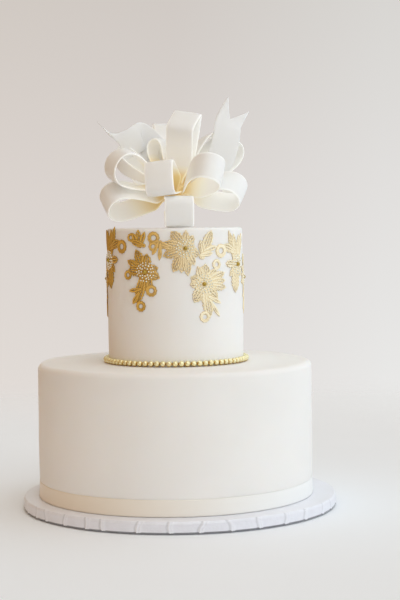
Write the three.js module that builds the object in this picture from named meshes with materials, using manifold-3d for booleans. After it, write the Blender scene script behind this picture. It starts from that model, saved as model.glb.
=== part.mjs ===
// Two-tier wedding cake on its covered board: a wide lower tier with a ribbon round its foot, a narrow
// upper tier with a string of pearls and raised lace, and a bow of dried sugar-paste strips on top.
// Millimetres, +Z up, origin at the middle of the board's underside, front towards -Y.
import * as THREE from "three";
import { mergeVertices } from "three/addons/utils/BufferGeometryUtils.js";
import Module from "manifold-3d";

const wasm = await Module();
wasm.setup();

// Driving dimensions
const BOARD = { radius: 152.4, thickness: 12, edge: 1.5 };
const LOWER = { radius: 133.5, foot: 131.8, height: 129, corner: 5.5, x: -3.7, y: 0 };
const UPPER = { radius: 65.5, foot: 65.2, height: 129, corner: 3, x: 1.7, y: -8 };
const RIBBON = { width: 15.5, thickness: 0.7 };
const PEARL = { diameter: 5.8, count: 74, thread: 1.1, rings: 3, sides: 5 };
const LACE = { thickness: 1.4, hole: 0.42, bead: 1.9, beadHeight: 3.8, span: 11.5 };
const STRIP = { width: 27, rootWidth: 9, thickness: 1.5, flare: 26, pinchGap: 1.1 };
const CORE = { ball: 12.5, foot: 10.5, neck: 8, height: 31, x: 2.6 };
const GAP = 0.3;
const ROUND_SIDES = 56;

const degrees = THREE.MathUtils.degToRad;

// Materials
const paint = (color, roughness, metalness = 0) =>
  new THREE.MeshStandardMaterial({ color, roughness, metalness });
const foil = paint(0xe9e7ec, 0.35);
const icing = paint(0xf3efe8, 0.6);
const satin = paint(0xf2ead9, 0.4);
const paste = paint(0xf3eedf, 0.55);
const gold = paint(0xc79a45, 0.4, 0.5);
const pearlGold = paint(0xd8c07a, 0.3, 0.4);

function named(name, geometry, material) {
  const mesh = new THREE.Mesh(geometry, material);
  mesh.name = name;
  return mesh;
}

// A profile of [radius, height] points turned round the Z axis.
function turned(profile, sides = ROUND_SIDES) {
  const points = profile.map(([radius, height]) => new THREE.Vector2(radius, height));
  return new THREE.LatheGeometry(points, sides).rotateX(Math.PI / 2);
}

// Points of a quarter round of the given radius about (x, y), from one angle to another.
function arc(x, y, radius, from, to, steps) {
  return Array.from({ length: steps + 1 }, (_, i) => {
    const a = degrees(from + ((to - from) * i) / steps);
    return [x + radius * Math.cos(a), y + radius * Math.sin(a)];
  });
}

// Board and tiers
function boardGeometry() {
  const { radius, thickness, edge } = BOARD;
  return turned([
    [0, 0],
    ...arc(radius - edge, edge, edge, -90, 0, 1),
    ...arc(radius - edge, thickness - edge, edge, 0, 90, 1),
    [0, thickness],
  ]);
}

// The side leans out from the foot to full radius by a third of the height, then rounds over at the top.
function tierGeometry({ radius, foot, height, corner }) {
  return turned([
    [0, 0],
    [foot, 0],
    [radius, height / 3],
    ...arc(radius - corner, height - corner, corner, 0, 90, 3),
    [0, height],
  ]);
}

// A band that stands clear of the lower tier's foot all round.
function ribbonGeometry() {
  const inner = LOWER.foot + GAP + 0.9;
  const outer = inner + RIBBON.thickness;
  return turned([
    [inner, GAP],
    [outer, GAP],
    [outer, GAP + RIBBON.width],
    [inner, GAP + RIBBON.width],
    [inner, GAP],
  ]);
}

// A closed mesh from a grid of rows by columns that closes on itself both ways.
function ringMesh(point, rows, columns) {
  const positions = [];
  const index = [];
  const at = (i, j) => (i % rows) * columns + (j % columns);
  for (let i = 0; i < rows; i++)
    for (let j = 0; j < columns; j++) positions.push(...point(i, j));
  for (let i = 0; i < rows; i++)
    for (let j = 0; j < columns; j++) {
      index.push(at(i, j), at(i + 1, j), at(i + 1, j + 1));
      index.push(at(i, j), at(i + 1, j + 1), at(i, j + 1));
    }
  const geometry = new THREE.BufferGeometry();
  geometry.setAttribute("position", new THREE.Float32BufferAttribute(positions, 3));
  geometry.setIndex(index);
  return geometry;
}

// Pearls on one thread, each a short stack of rings that narrows to the thread at its neighbours.
function pearlGeometry() {
  const { diameter, count, thread, rings, sides } = PEARL;
  const radius = diameter / 2;
  const circle = UPPER.foot + radius + GAP;
  return ringMesh(
    (i, j) => {
      const along = ((i % rings) + 0.5) / rings;
      const angle = (2 * Math.PI * i) / (rings * count);
      const offset = (along - 0.5) * 2;
      const girth = Math.max(thread, radius * Math.sqrt(Math.max(0, 1 - offset * offset)));
      const turn = (2 * Math.PI * (j + 0.5)) / sides;
      const out = circle + girth * Math.cos(turn);
      const up = radius + girth * Math.sin(turn);
      return [out * Math.cos(angle), out * Math.sin(angle), up];
    },
    rings * count,
    sides,
  );
}

// Bow
// A thin curved sheet with two faces and a rim. place(i, j) gives a middle point and its normal.
function sheetGeometry(place, rows, columns, thickness) {
  const positions = [];
  const index = [];
  for (const side of [0.5, -0.5])
    for (let i = 0; i < rows; i++)
      for (let j = 0; j < columns; j++) {
        const { point, normal } = place(i, j);
        positions.push(...point.clone().addScaledVector(normal, side * thickness).toArray());
      }
  const at = (side, i, j) => (side * rows + i) * columns + j;
  const quad = (a, b, c, d) => index.push(a, b, c, a, c, d);
  for (let i = 0; i + 1 < rows; i++)
    for (let j = 0; j + 1 < columns; j++) {
      quad(at(0, i, j), at(0, i + 1, j), at(0, i + 1, j + 1), at(0, i, j + 1));
      quad(at(1, i, j), at(1, i, j + 1), at(1, i + 1, j + 1), at(1, i + 1, j));
    }
  const last = columns - 1;
  for (let i = 0; i + 1 < rows; i++) {
    quad(at(0, i, 0), at(1, i, 0), at(1, i + 1, 0), at(0, i + 1, 0));
    quad(at(0, i, last), at(0, i + 1, last), at(1, i + 1, last), at(1, i, last));
  }
  const end = rows - 1;
  for (let j = 0; j + 1 < columns; j++) {
    quad(at(0, 0, j), at(0, 0, j + 1), at(1, 0, j + 1), at(1, 0, j));
    quad(at(0, end, j), at(1, end, j), at(1, end, j + 1), at(0, end, j + 1));
  }
  const geometry = new THREE.BufferGeometry();
  geometry.setAttribute("position", new THREE.Float32BufferAttribute(positions, 3));
  geometry.setIndex(index);
  return geometry;
}

// The three directions of a loop: outwards, up its plane, and across the strip.
function loopFrame({ azimuth, rise, roll, tilt = 0 }) {
  const a = degrees(azimuth);
  const e = degrees(rise);
  const q = degrees(roll);
  const out = new THREE.Vector3(Math.cos(a) * Math.cos(e), Math.sin(a) * Math.cos(e), Math.sin(e));
  const level = new THREE.Vector3(-Math.sin(a), Math.cos(a), 0);
  const steep = new THREE.Vector3().crossVectors(out, level);
  const across = level.clone().multiplyScalar(Math.cos(q)).addScaledVector(steep, Math.sin(q));
  const up = new THREE.Vector3().crossVectors(out, across);
  out.applyAxisAngle(up, degrees(tilt));
  across.applyAxisAngle(up, degrees(tilt));
  return { out, up, across };
}

const smooth = (x) => THREE.MathUtils.smoothstep(x, 0, 1);
const stripWidth = (run, flare = STRIP.flare) =>
  STRIP.rootWidth + (STRIP.width - STRIP.rootWidth) * smooth(run / flare);

// A strip bent back on itself: a teardrop pinched at the core and round, or blunt, at its far end.
function loopGeometry(loop, swell = 0) {
  const { reach, height, pinch = 1.8, blunt = 1, lean = 0, slant = 0 } = loop;
  const { out, up, across } = loopFrame(loop);
  const root = CORE.ball + GAP;
  const run = reach - root;
  const widest = Math.atan(Math.sqrt(pinch + 1));
  const peak = 2 * Math.sin(widest) ** (pinch + 1) * Math.cos(widest);
  const outline = (t) => {
    const x = 1 - (1 - (1 - Math.cos(t)) / 2) ** blunt;
    const bulge = (Math.sin(t) * Math.sin(t / 2) ** pinch) / peak;
    const y = -(height / 2) * bulge - Math.cos(t / 2) * STRIP.pinchGap;
    return new THREE.Vector2(run * x + slant * y * x * x, y + lean * x * x);
  };
  const rows = 17;
  const first = 0.55;
  const tAt = (i) => {
    if (i === 0) return 1e-2;
    if (i === rows - 1) return 2 * Math.PI - 1e-2;
    return first + ((2 * Math.PI - 2 * first) * (i - 1)) / (rows - 3);
  };
  const place = (i, j) => {
    const t = tAt(i);
    const p = outline(t);
    const ahead = outline(t + 1e-3).sub(outline(t - 1e-3)).normalize();
    const half = (stripWidth(p.x, loop.flare) / 2 + swell) * (j ? 1 : -1);
    return {
      point: new THREE.Vector3()
        .addScaledVector(out, root + p.x)
        .addScaledVector(up, p.y)
        .addScaledVector(across, half),
      normal: new THREE.Vector3().addScaledVector(out, -ahead.y).addScaledVector(up, ahead.x),
    };
  };
  return sheetGeometry(place, rows, 2, STRIP.thickness + 2 * swell);
}

const LOOPS = {
  // lower round
  front_low: { azimuth: -88, rise: -15.3, roll: 0, reach: 68, height: 26, blunt: 1.5 },
  left_low: { azimuth: 201, rise: -5, roll: -40, reach: 74, height: 27, pinch: 2.2, flare: 14 },
  right_low: { azimuth: -27, rise: 3, roll: 40, reach: 70, height: 26, flare: 16 },
  back_right_low: { azimuth: 36, rise: 2, roll: 10, reach: 67, height: 23 },
  back_low: { azimuth: 87, rise: -8, roll: 0, reach: 68, height: 24 },
  back_left_low: { azimuth: 150, rise: -7, roll: -12, reach: 74, height: 25 },
  // middle round
  front_left: { azimuth: -104, rise: 14, roll: 6, reach: 70, height: 30, blunt: 1.6 },
  front_right: { azimuth: -60, rise: 19, roll: 66, reach: 76, height: 27 },
  left_high: { azimuth: 210, rise: 25, roll: -15, reach: 77, height: 31, pinch: 2.2, flare: 12 },
  right_high: { azimuth: 20, rise: 40, roll: 20, reach: 80, height: 26 },
  back_right: { azimuth: 55, rise: 24, roll: -6, reach: 70, height: 24, flare: 45 },
  back_left: { azimuth: 120, rise: 24, roll: 8, reach: 72, height: 24, flare: 45 },
  // top
  crown: { azimuth: -110, rise: 81, roll: 0, tilt: 10, reach: 75, height: 21, blunt: 2, slant: 0.6 },
  crown_left: { azimuth: 125, rise: 64, roll: 12, reach: 60, height: 18 },
  crown_back_left: { azimuth: 160, rise: 34, roll: 40, reach: 73, height: 14, flare: 60 },
  crown_back: { azimuth: 100, rise: 51, roll: 0, reach: 92, height: 15, flare: 60 },
  crown_back_right: { azimuth: 30, rise: 52, roll: -10, reach: 74, height: 18, flare: 50 },
};

// Loose ends. The path follows one edge from the core to the tip, the strip lies beside it, and the
// facing direction turns evenly from start to end.
const TAILS = {
  right: {
    path: [
      [13, -3, 12], [28, -9, 36], [32, -9, 46], [35, -8, 56], [38, -5, 71], [41, -2, 79],
      [51, 3, 96],
    ],
    facing: [-90, -66],
    side: 1,
    cut: (share) => 1 - 0.2 * (1 - Math.abs(2 * share - 1)),
  },
  left: {
    path: [
      [-4, 11, 12], [-8, 26, 40], [-14, 31, 58], [-29, 25, 71], [-37, 18, 72], [-49, 8, 64],
      [-62, 3, 61], [-77, 0, 73],
    ],
    facing: [-90, -40],
    side: -1,
    cut: (share) => 1 - 0.5 * Math.sqrt(share) + 0.33 * share,
  },
};

// Places across a tail, as shares of its width from the edge that the path follows.
const TAIL_SHARES = [0, 0.12, 0.5, 1];

function tailGeometry({ path, facing, side, cut }, swell = 0) {
  const curve = new THREE.CatmullRomCurve3(path.map((p) => new THREE.Vector3(...p)));
  const rows = 13;
  const frameAt = (t) => {
    const look = degrees(facing[0] + (facing[1] - facing[0]) * t);
    const ahead = curve.getTangentAt(t);
    const across = new THREE.Vector3(Math.cos(look), Math.sin(look), 0).cross(ahead).normalize();
    return { ahead, across: across.multiplyScalar(-side) };
  };
  const place = (i, j) => {
    const share = TAIL_SHARES[j];
    const t = (cut(share) * i) / (rows - 1);
    const { ahead, across } = frameAt(t);
    const offset = share * stripWidth(t * curve.getLength());
    return {
      point: curve.getPointAt(t).addScaledVector(across, offset + swell * (2 * share - 1)),
      normal: ahead.clone().cross(across).normalize(),
    };
  };
  return sheetGeometry(place, rows, TAIL_SHARES.length, STRIP.thickness + 2 * swell);
}

// Solids: joining and cutting
function solidOf(geometry) {
  const bare = geometry.clone();
  bare.deleteAttribute("normal");
  bare.deleteAttribute("uv");
  const merged = mergeVertices(bare, 1e-4);
  const vertProperties = new Float32Array(merged.getAttribute("position").array);
  const triVerts = new Uint32Array(merged.index.array);
  return new wasm.Manifold(new wasm.Mesh({ numProp: 3, vertProperties, triVerts }));
}

function geometryOf(solid) {
  const { vertProperties, triVerts } = solid.getMesh();
  const geometry = new THREE.BufferGeometry();
  geometry.setAttribute("position", new THREE.Float32BufferAttribute(vertProperties, 3));
  geometry.setIndex(Array.from(triVerts));
  return geometry;
}

const biggest = (solid) =>
  solid.decompose().reduce((best, part) => (part.volume() > best.volume() ? part : best));

// Each strip is trimmed where an earlier one is in its way, so that neighbours only just clear.
function trimmedStrips() {
  const strips = [
    ...Object.entries(LOOPS).map(([name, loop]) => ["loop_" + name, (s) => loopGeometry(loop, s)]),
    ...Object.entries(TAILS).map(([name, tail]) => ["tail_" + name, (s) => tailGeometry(tail, s)]),
  ];
  const taken = [];
  return strips.map(([name, shape]) => {
    let solid = solidOf(shape(0));
    for (const other of taken)
      if (!solid.intersect(other).isEmpty()) solid = biggest(solid.subtract(other));
    taken.push(solidOf(shape(GAP)));
    return [name, geometryOf(solid)];
  });
}

function coreGeometry() {
  const { ball, foot, neck, height } = CORE;
  const join = Math.asin(neck / ball) * (180 / Math.PI);
  return turned(
    [[0, GAP], [foot, GAP], [neck, GAP + 6], ...arc(0, height, ball, -90 + join, 90, 6)],
    14,
  );
}

// Lace
// Each motif is drawn on the unrolled wall, in millimetres right and up from its bead or foot:
// petals run from one point to another with a width, and rings have a middle and a radius.
const MOTIFS = {
  drop: {
    bead: true,
    petals: [
      [3, 0, 14, 32, 8], [2, 0, 6, 29, 7], [0, 0, -5, 28, 7], [-1, 0, -12, 29, 7], [5, 12, 23, 18, 8],
      [3, 0, 19, 1, 7], [2, -2, 13, -11, 7], [-2, -2, -9, -11, 7], [2, 0, 3.5, -27, 14],
    ],
    rings: [[25, 13, 6.5]],
  },
  curl: {
    petals: [[0, -5, 0, 10, 6], [2, -6, 7, 8, 5], [1, -5, -7, 7, 5], [6, -5, -8, -1, 6]],
    rings: [[-8.5, 2.5, 4]],
  },
  spray: {
    bead: true,
    petals: [
      [1, -2, -10, 21, 10], [0, 0, 2, 17, 10], [0, 0, -20, 11, 8], [1, 0, -19, 2, 10],
      [-1, 0, 13, 4, 9], [-1, 1, 14.5, -6, 9], [0, 0, 5, -15, 9], [0, 0, -2, -19, 9],
      [-1, 0, -9, -30, 10], [-5, -16, -18.5, -18, 4], [-7, -20, -14, -30, 5],
    ],
    rings: [[-19.5, -3, 4.5], [6, -17.5, 5.5], [-5, -32, 5]],
  },
  wide: {
    bead: true,
    petals: [
      [0, 0, -13, 16, 11], [0, -1, 1, 17, 7], [0, 0, 8, 12, 8], [-1, 0, 13.5, -7, 10],
      [0, 0, -11.5, -22, 10], [0, 0, -4, -23, 9], [0, 0, 2.5, -26, 8], [0, 0, 9, -16, 8],
      [0, 0, -22, 4, 11], [1, 0, -21, -7, 10], [-14, 1, -30, 6, 7], [-25, 5, -31, -6, 4],
      [-23, 4, -24, -11, 4],
    ],
    rings: [[-29.5, 10, 5.8], [-30, 2, 4.4]],
  },
  leaf: { petals: [[-1, -2, 9.5, 22, 10], [0, -3, -2.5, 13, 6], [2, 3, 15, 7, 5], [-2, -1, 10.5, 1, 5]] },
  spread: {
    bead: true,
    petals: [
      [0, 0, -13, 7, 9], [1, 0, -14, 0, 8], [1, 1, -10, -17, 11], [0, 0, 2, 19, 11],
      [0, 0, -6, 17, 8], [0, 0, 14, 14, 8], [-1, 0, 24, 10.5, 9], [-1, 0, 25, 3, 8],
      [-1, 0, 26, -4, 8], [0, 0, 15, -14, 10], [0, 0, 1, -19, 9], [1, 0, 6, -32, 11],
      [6, -15, 17, -31, 4], [5, -12, 19, -18.5, 4],
    ],
    rings: [[0.5, -30.5, 5.2], [14, 18, 4.8]],
  },
};

// Where each motif sits: azimuth from the front, to the right, and height above the tier's foot.
const LACE_PLACES = {
  drop_left: { motif: "drop", azimuth: -71, height: 99 },
  curl_left: { motif: "curl", azimuth: -31, height: 118 },
  spray_left: { motif: "spray", azimuth: -25, height: 88.5 },
  wide_front: { motif: "wide", azimuth: 8.5, height: 110 },
  leaf_right: { motif: "leaf", azimuth: 23.5, height: 104.5 },
  spread_right: { motif: "spread", azimuth: 24, height: 76.5 },
  drop_right: { motif: "drop", azimuth: 63, height: 94, mirrored: true },
  spread_far_right: { motif: "spread", azimuth: 96, height: 80.5, mirrored: true },
  spray_far_left: { motif: "spray", azimuth: -97, height: 80.5, mirrored: true },
  drop_back_right: { motif: "drop", azimuth: 126, height: 96 },
  wide_back: { motif: "wide", azimuth: 186, height: 108 },
  curl_back_right: { motif: "curl", azimuth: 160, height: 76 },
  leaf_back_left: { motif: "leaf", azimuth: -148, height: 68, mirrored: true },
  drop_back_left: { motif: "drop", azimuth: -121, height: 97, mirrored: true },
};

function petalShape(length, width) {
  const shape = new THREE.Shape();
  shape.moveTo(0, -0.28 * width);
  shape.lineTo(0.6 * length, -0.5 * width);
  shape.lineTo(length, 0);
  shape.lineTo(0.6 * length, 0.5 * width);
  shape.lineTo(0, 0.28 * width);
  shape.closePath();
  return shape;
}

function ringShape(radius) {
  const polygon = (r, n) =>
    Array.from({ length: n }, (_, i) => {
      const a = (2 * Math.PI * i) / n;
      return new THREE.Vector2(r * Math.cos(a), r * Math.sin(a));
    });
  const shape = new THREE.Shape(polygon(radius, 8));
  shape.holes.push(new THREE.Path(polygon(radius * LACE.hole, 5)));
  return shape;
}

// Splits every edge that runs further round the wall than the limit, so that no face cuts the corner.
function splitLong(positions, index, limit) {
  const middles = new Map();
  const middle = (a, b) => {
    const key = a < b ? a + "_" + b : b + "_" + a;
    if (Math.abs(positions[3 * a] - positions[3 * b]) <= limit) return -1;
    if (!middles.has(key)) {
      middles.set(key, positions.length / 3);
      for (let k = 0; k < 3; k++) positions.push((positions[3 * a + k] + positions[3 * b + k]) / 2);
    }
    return middles.get(key);
  };
  const result = [];
  for (let i = 0; i < index.length; i += 3) {
    const corners = [index[i], index[i + 1], index[i + 2]];
    const split = corners.map((corner, k) => middle(corner, corners[(k + 1) % 3]));
    const outline = corners.flatMap((corner, k) => (split[k] < 0 ? [corner] : [corner, split[k]]));
    const start = outline.length === 3 ? 0 : outline.indexOf(split.find((m) => m >= 0));
    for (let k = 1; k + 1 < outline.length; k++)
      result.push(...[0, k, k + 1].map((step) => outline[(start + step) % outline.length]));
  }
  return middles.size ? splitLong(positions, result, limit) : result;
}

function laceGeometry({ motif, mirrored }) {
  const { bead, petals, rings = [] } = MOTIFS[motif];
  const slab = { depth: LACE.thickness, bevelEnabled: false };
  const pieces = petals.map(([right, up, toRight, toUp, width]) => {
    const along = new THREE.Vector2(toRight - right, toUp - up);
    const petal = new THREE.ExtrudeGeometry(petalShape(along.length(), width), slab);
    return petal.rotateZ(along.angle()).translate(right, up, 0);
  });
  for (const [right, up, radius] of rings)
    pieces.push(new THREE.ExtrudeGeometry(ringShape(radius), slab).translate(right, up, 0));
  if (bead) {
    const stud = new THREE.CylinderGeometry(LACE.bead * 0.5, LACE.bead, LACE.beadHeight, 6);
    pieces.push(stud.rotateX(Math.PI / 2).translate(0, 0, LACE.beadHeight / 2));
  }
  const whole = pieces.map(solidOf).reduce((all, piece) => all.add(piece));
  const flat = geometryOf(biggest(whole.asOriginal()));
  if (mirrored) flat.scale(-1, 1, 1);
  const positions = Array.from(flat.getAttribute("position").array);
  const index = splitLong(positions, Array.from(flat.index.array), LACE.span);
  for (let i = 0; i < positions.length; i += 3) {
    const angle = positions[i] / UPPER.radius;
    const out = UPPER.radius + GAP + positions[i + 2];
    positions[i + 2] = positions[i + 1];
    positions[i] = out * Math.sin(angle);
    positions[i + 1] = -out * Math.cos(angle);
  }
  if (mirrored) index.reverse();
  const geometry = new THREE.BufferGeometry();
  geometry.setAttribute("position", new THREE.Float32BufferAttribute(positions, 3));
  geometry.setIndex(index);
  return geometry;
}

// Assembly
function buildBow() {
  const bow = new THREE.Group();
  bow.position.set(CORE.x, 0, 0);
  bow.add(named("bow_core", coreGeometry(), paste));
  const loops = new THREE.Group();
  loops.position.z = CORE.height;
  for (const [name, geometry] of trimmedStrips()) loops.add(named("bow_" + name, geometry, paste));
  bow.add(loops);
  return bow;
}

function buildUpperTier() {
  const upper = new THREE.Group();
  upper.position.set(UPPER.x, UPPER.y, LOWER.height);
  upper.add(named("upper_tier", tierGeometry(UPPER), icing));
  upper.add(named("pearl_string", pearlGeometry(), pearlGold));
  for (const [name, place] of Object.entries(LACE_PLACES)) {
    const lace = named("lace_" + name, laceGeometry(place), gold);
    lace.rotation.z = degrees(place.azimuth);
    lace.position.z = place.height;
    upper.add(lace);
  }
  const bow = buildBow();
  bow.position.z = UPPER.height;
  upper.add(bow);
  return upper;
}

function buildCake() {
  const cake = new THREE.Group();
  cake.add(named("cake_board", boardGeometry(), foil));
  const lower = new THREE.Group();
  lower.position.set(LOWER.x, LOWER.y, BOARD.thickness);
  lower.add(named("lower_tier", tierGeometry(LOWER), icing));
  lower.add(named("foot_ribbon", ribbonGeometry(), satin));
  lower.add(buildUpperTier());
  cake.add(lower);
  return cake;
}

export default buildCake();
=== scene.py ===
# A two-tier wedding cake dressed for its picture: smooth icing on both tiers, a satin ribbon, a
# board in white foil paper, a row of gold pearls, gold lace and a bow of dried sugar-paste strips.
# Metres in the scene, millimetres in the shape code. +Z is up and the front faces -Y.
import math

import bmesh
import bpy
import numpy as np
from mathutils import Matrix, Vector


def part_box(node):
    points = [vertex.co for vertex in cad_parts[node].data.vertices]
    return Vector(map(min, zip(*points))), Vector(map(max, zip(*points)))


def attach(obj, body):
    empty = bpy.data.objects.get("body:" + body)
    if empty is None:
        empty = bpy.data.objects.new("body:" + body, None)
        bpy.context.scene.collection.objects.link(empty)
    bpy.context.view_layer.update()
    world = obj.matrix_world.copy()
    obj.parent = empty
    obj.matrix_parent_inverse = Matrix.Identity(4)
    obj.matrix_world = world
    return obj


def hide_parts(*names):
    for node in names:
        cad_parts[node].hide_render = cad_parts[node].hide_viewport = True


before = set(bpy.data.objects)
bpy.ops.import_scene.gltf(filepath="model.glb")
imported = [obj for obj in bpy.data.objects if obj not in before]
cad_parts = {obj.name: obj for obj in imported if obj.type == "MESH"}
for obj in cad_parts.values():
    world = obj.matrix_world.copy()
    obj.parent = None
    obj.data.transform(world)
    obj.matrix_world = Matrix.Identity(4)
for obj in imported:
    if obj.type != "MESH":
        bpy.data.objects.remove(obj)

bl_info = {
    "name": "Tiered wedding cake",
    "version": (1, 0, 0),
    "blender": (4, 5, 0),
    "location": "3D View > Sidebar > Cake",
    "description": "Ices, wraps and decorates a two-tier wedding cake with a bow",
    "category": "Object",
}

MM = 0.001
BODY = "root"


def round_part(name):
    """Middle of the foot, radius and height of a round part of the frame, in metres."""
    low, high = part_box(name)
    middle = ((low.x + high.x) / 2, (low.y + high.y) / 2, low.z)
    return middle, (high.x - low.x) / 2, high.z - low.z


BOARD_MIDDLE, BOARD_RADIUS, BOARD_HEIGHT = round_part("cake_board")
LOWER_MIDDLE, LOWER_RADIUS, LOWER_HEIGHT = round_part("lower_tier")
UPPER_MIDDLE, UPPER_RADIUS, UPPER_HEIGHT = round_part("upper_tier")
RIBBON_MIDDLE, RIBBON_RADIUS, RIBBON_HEIGHT = round_part("foot_ribbon")
PEARLS_MIDDLE, PEARLS_RADIUS, PEARLS_HEIGHT = round_part("pearl_string")

# Places of the bow, in millimetres: its foot on the upper tier and the middle of its knot.
BOW_FOOT = np.array([0.6, -8.0, 270.0])
BOW_MIDDLE = np.array([0.6, -8.0, 301.0])
KNOT = {"ball": 12.5, "foot": 10.5, "neck": 8.0, "height": 31.0, "folds": 0.35, "sides": 96}
TRIM_GAP = 0.3


# ---------------------------------------------------------------- what a user may change
def length(name, description, default):
    return bpy.props.FloatProperty(
        name=name, description=description, default=default, min=0.0, unit="LENGTH", precision=5
    )


def colour(name, description, default):
    return bpy.props.FloatVectorProperty(
        name=name, description=description, default=default, subtype="COLOR", size=3, min=0.0,
        max=1.0,
    )


class CAKE_PG_sizes(bpy.types.PropertyGroup):
    board_radius: length("Board radius", "Radius of the wrapped board", BOARD_RADIUS)
    board_height: length("Board height", "Thickness of the wrapped board", BOARD_HEIGHT)
    pleat_height: length("Pleat height", "How far a pleat of the board's paper stands out", 0.0006)
    lower_radius: length("Lower tier radius", "Radius of the lower tier", LOWER_RADIUS)
    lower_height: length("Lower tier height", "Height of the lower tier", LOWER_HEIGHT)
    lower_foot: length("Lower tier foot", "Radius of the lower tier at its foot", 0.1318)
    lower_corner: length("Lower tier corner", "Radius of the lower tier's top edge", 0.0055)
    upper_radius: length("Upper tier radius", "Radius of the upper tier", UPPER_RADIUS)
    upper_height: length("Upper tier height", "Height of the upper tier", UPPER_HEIGHT)
    upper_foot: length("Upper tier foot", "Radius of the upper tier at its foot", 0.0652)
    upper_corner: length("Upper tier corner", "Radius of the upper tier's top edge", 0.003)
    unevenness: length("Icing unevenness", "How far the rolled icing wanders from true", 0.0003)
    ribbon_radius: length("Ribbon radius", "Outer radius of the foot ribbon", RIBBON_RADIUS)
    ribbon_width: length("Ribbon width", "Width of the foot ribbon", RIBBON_HEIGHT)
    ribbon_thickness: length("Ribbon thickness", "Thickness of the foot ribbon", 0.0007)
    pearl_size: length("Pearl size", "Diameter of one pearl", 0.0058)
    pearl_count: bpy.props.IntProperty(
        name="Pearl count", description="Pearls in the row", default=74, min=3
    )
    lace_depth: length("Lace depth", "Height of the lace's cords above the icing", 0.0014)
    lace_grid: length("Lace grid", "Spacing of the lace's modelled points", 0.00036)
    strip_width: length("Strip width", "Width of a bow strip", 0.027)
    strip_root: length("Strip root width", "Width of a bow strip where it is pinched", 0.009)
    strip_thickness: length("Strip thickness", "Thickness of the dried paste", 0.0015)


class CAKE_PG_colours(bpy.types.PropertyGroup):
    icing: colour("Icing", "Rolled icing on the tiers", (0.90, 0.885, 0.86))
    # Painted light on the ribbon: white on its lit right, warm and darker on its shaded left.
    satin: colour("Satin", "Ribbon round the foot, on the right", (0.93, 0.94, 0.93))
    satin_painted_shade: colour("Warm satin", "Ribbon round the foot, on the left", (0.88, 0.78, 0.64))
    foil: colour("Foil paper", "Paper round the board", (0.83, 0.84, 0.90))
    paste: colour("Sugar paste", "Faces of the bow strips", (0.95, 0.95, 0.94))
    # Painted warm shade deep inside the bow, near the knot.
    paste_painted_shade: colour("Deep paste", "Inside of the bow near the knot", (0.92, 0.74, 0.38))
    # Lace colours: paler on the right as painted highlight, ground darker as painted shade.
    lace_high: colour("Lace cords", "Raised cords of the lace on the left", (0.90, 0.57, 0.12))
    lace_low: colour("Lace ground", "Sunk ground of the lace on the left", (0.42, 0.23, 0.035))
    lace_painted_highlight: colour("Pale cords", "Raised cords of the lace on the right", (1.0, 0.92, 0.70))
    lace_painted_highlight_low: colour("Pale ground", "Sunk ground of the lace on the right", (0.86, 0.70, 0.42))
    pearl: colour("Pearls", "Row of pearls", (0.98, 0.87, 0.52))
    # Painted shade between neighbouring pearls and under each pearl.
    pearl_joint: colour("Pearl joints", "Where two pearls meet", (0.66, 0.40, 0.07))
    middle_bead: colour("Middle beads", "Bead in the middle of a flower", (0.48, 0.32, 0.04))
    stamen: colour("Stamens", "Small beads round a flower's middle", (1.0, 0.95, 0.80))
    floor: colour("Floor", "Pale floor", (0.885, 0.91, 0.94))


class CAKE_PG_light(bpy.types.PropertyGroup):
    key_azimuth: bpy.props.FloatProperty(
        name="Light direction", description="Turn of the main light to the right of the front",
        default=math.radians(72), subtype="ANGLE",
    )
    key_rise: bpy.props.FloatProperty(
        name="Light rise", description="Height of the main light above the horizon",
        default=math.radians(32), subtype="ANGLE",
    )
    key_strength: bpy.props.FloatProperty(
        name="Light strength", description="Brightness of the main light", default=0.25, min=0.0
    )


# ---------------------------------------------------------------- node materials
NOISE_RANGE = (0.3, 0.7)


class Nodes:
    """A node tree under construction, with short calls for the nodes it uses."""

    def __init__(self, tree):
        self.tree = tree

    def node(self, kind, inputs=None, **settings):
        made = self.tree.nodes.new(kind)
        for key, value in settings.items():
            setattr(made, key, value)
        for key, value in (inputs or {}).items():
            self.join(value, made.inputs[key])
        return made

    def join(self, value, socket):
        if isinstance(value, bpy.types.NodeSocket):
            self.tree.links.new(value, socket)
        elif hasattr(socket.default_value, "__len__") and len(socket.default_value) == 4:
            socket.default_value = (*value[:3], 1.0)
        else:
            socket.default_value = value

    def remap(self, value, low, high, to_low=0.0, to_high=1.0, kind="SMOOTHSTEP"):
        made = self.node("ShaderNodeMapRange", interpolation_type=kind)
        for socket, given in zip(made.inputs, (value, low, high, to_low, to_high)):
            self.join(given, socket)
        return made.outputs["Result"]

    def ramp(self, value, stops):
        """A row of colours, each with its place from 0 to 1."""
        made = self.node("ShaderNodeValToRGB", {"Fac": value})
        elements = made.color_ramp.elements
        while len(elements) < len(stops):
            elements.new(0.5)
        for element, (position, tone) in zip(elements, stops):
            element.position, element.color = position, (*tone, 1.0)
        return made.outputs["Color"]

    def vector(self, operation, **inputs):
        """Vector maths; the inputs are first, second or scale."""
        names = {"first": 0, "second": 1, "scale": "Scale"}
        given = {names[key]: value for key, value in inputs.items()}
        made = self.node("ShaderNodeVectorMath", given, operation=operation)
        scalar = operation in ("DOT_PRODUCT", "LENGTH")
        return made.outputs["Value" if scalar else "Vector"]


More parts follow.
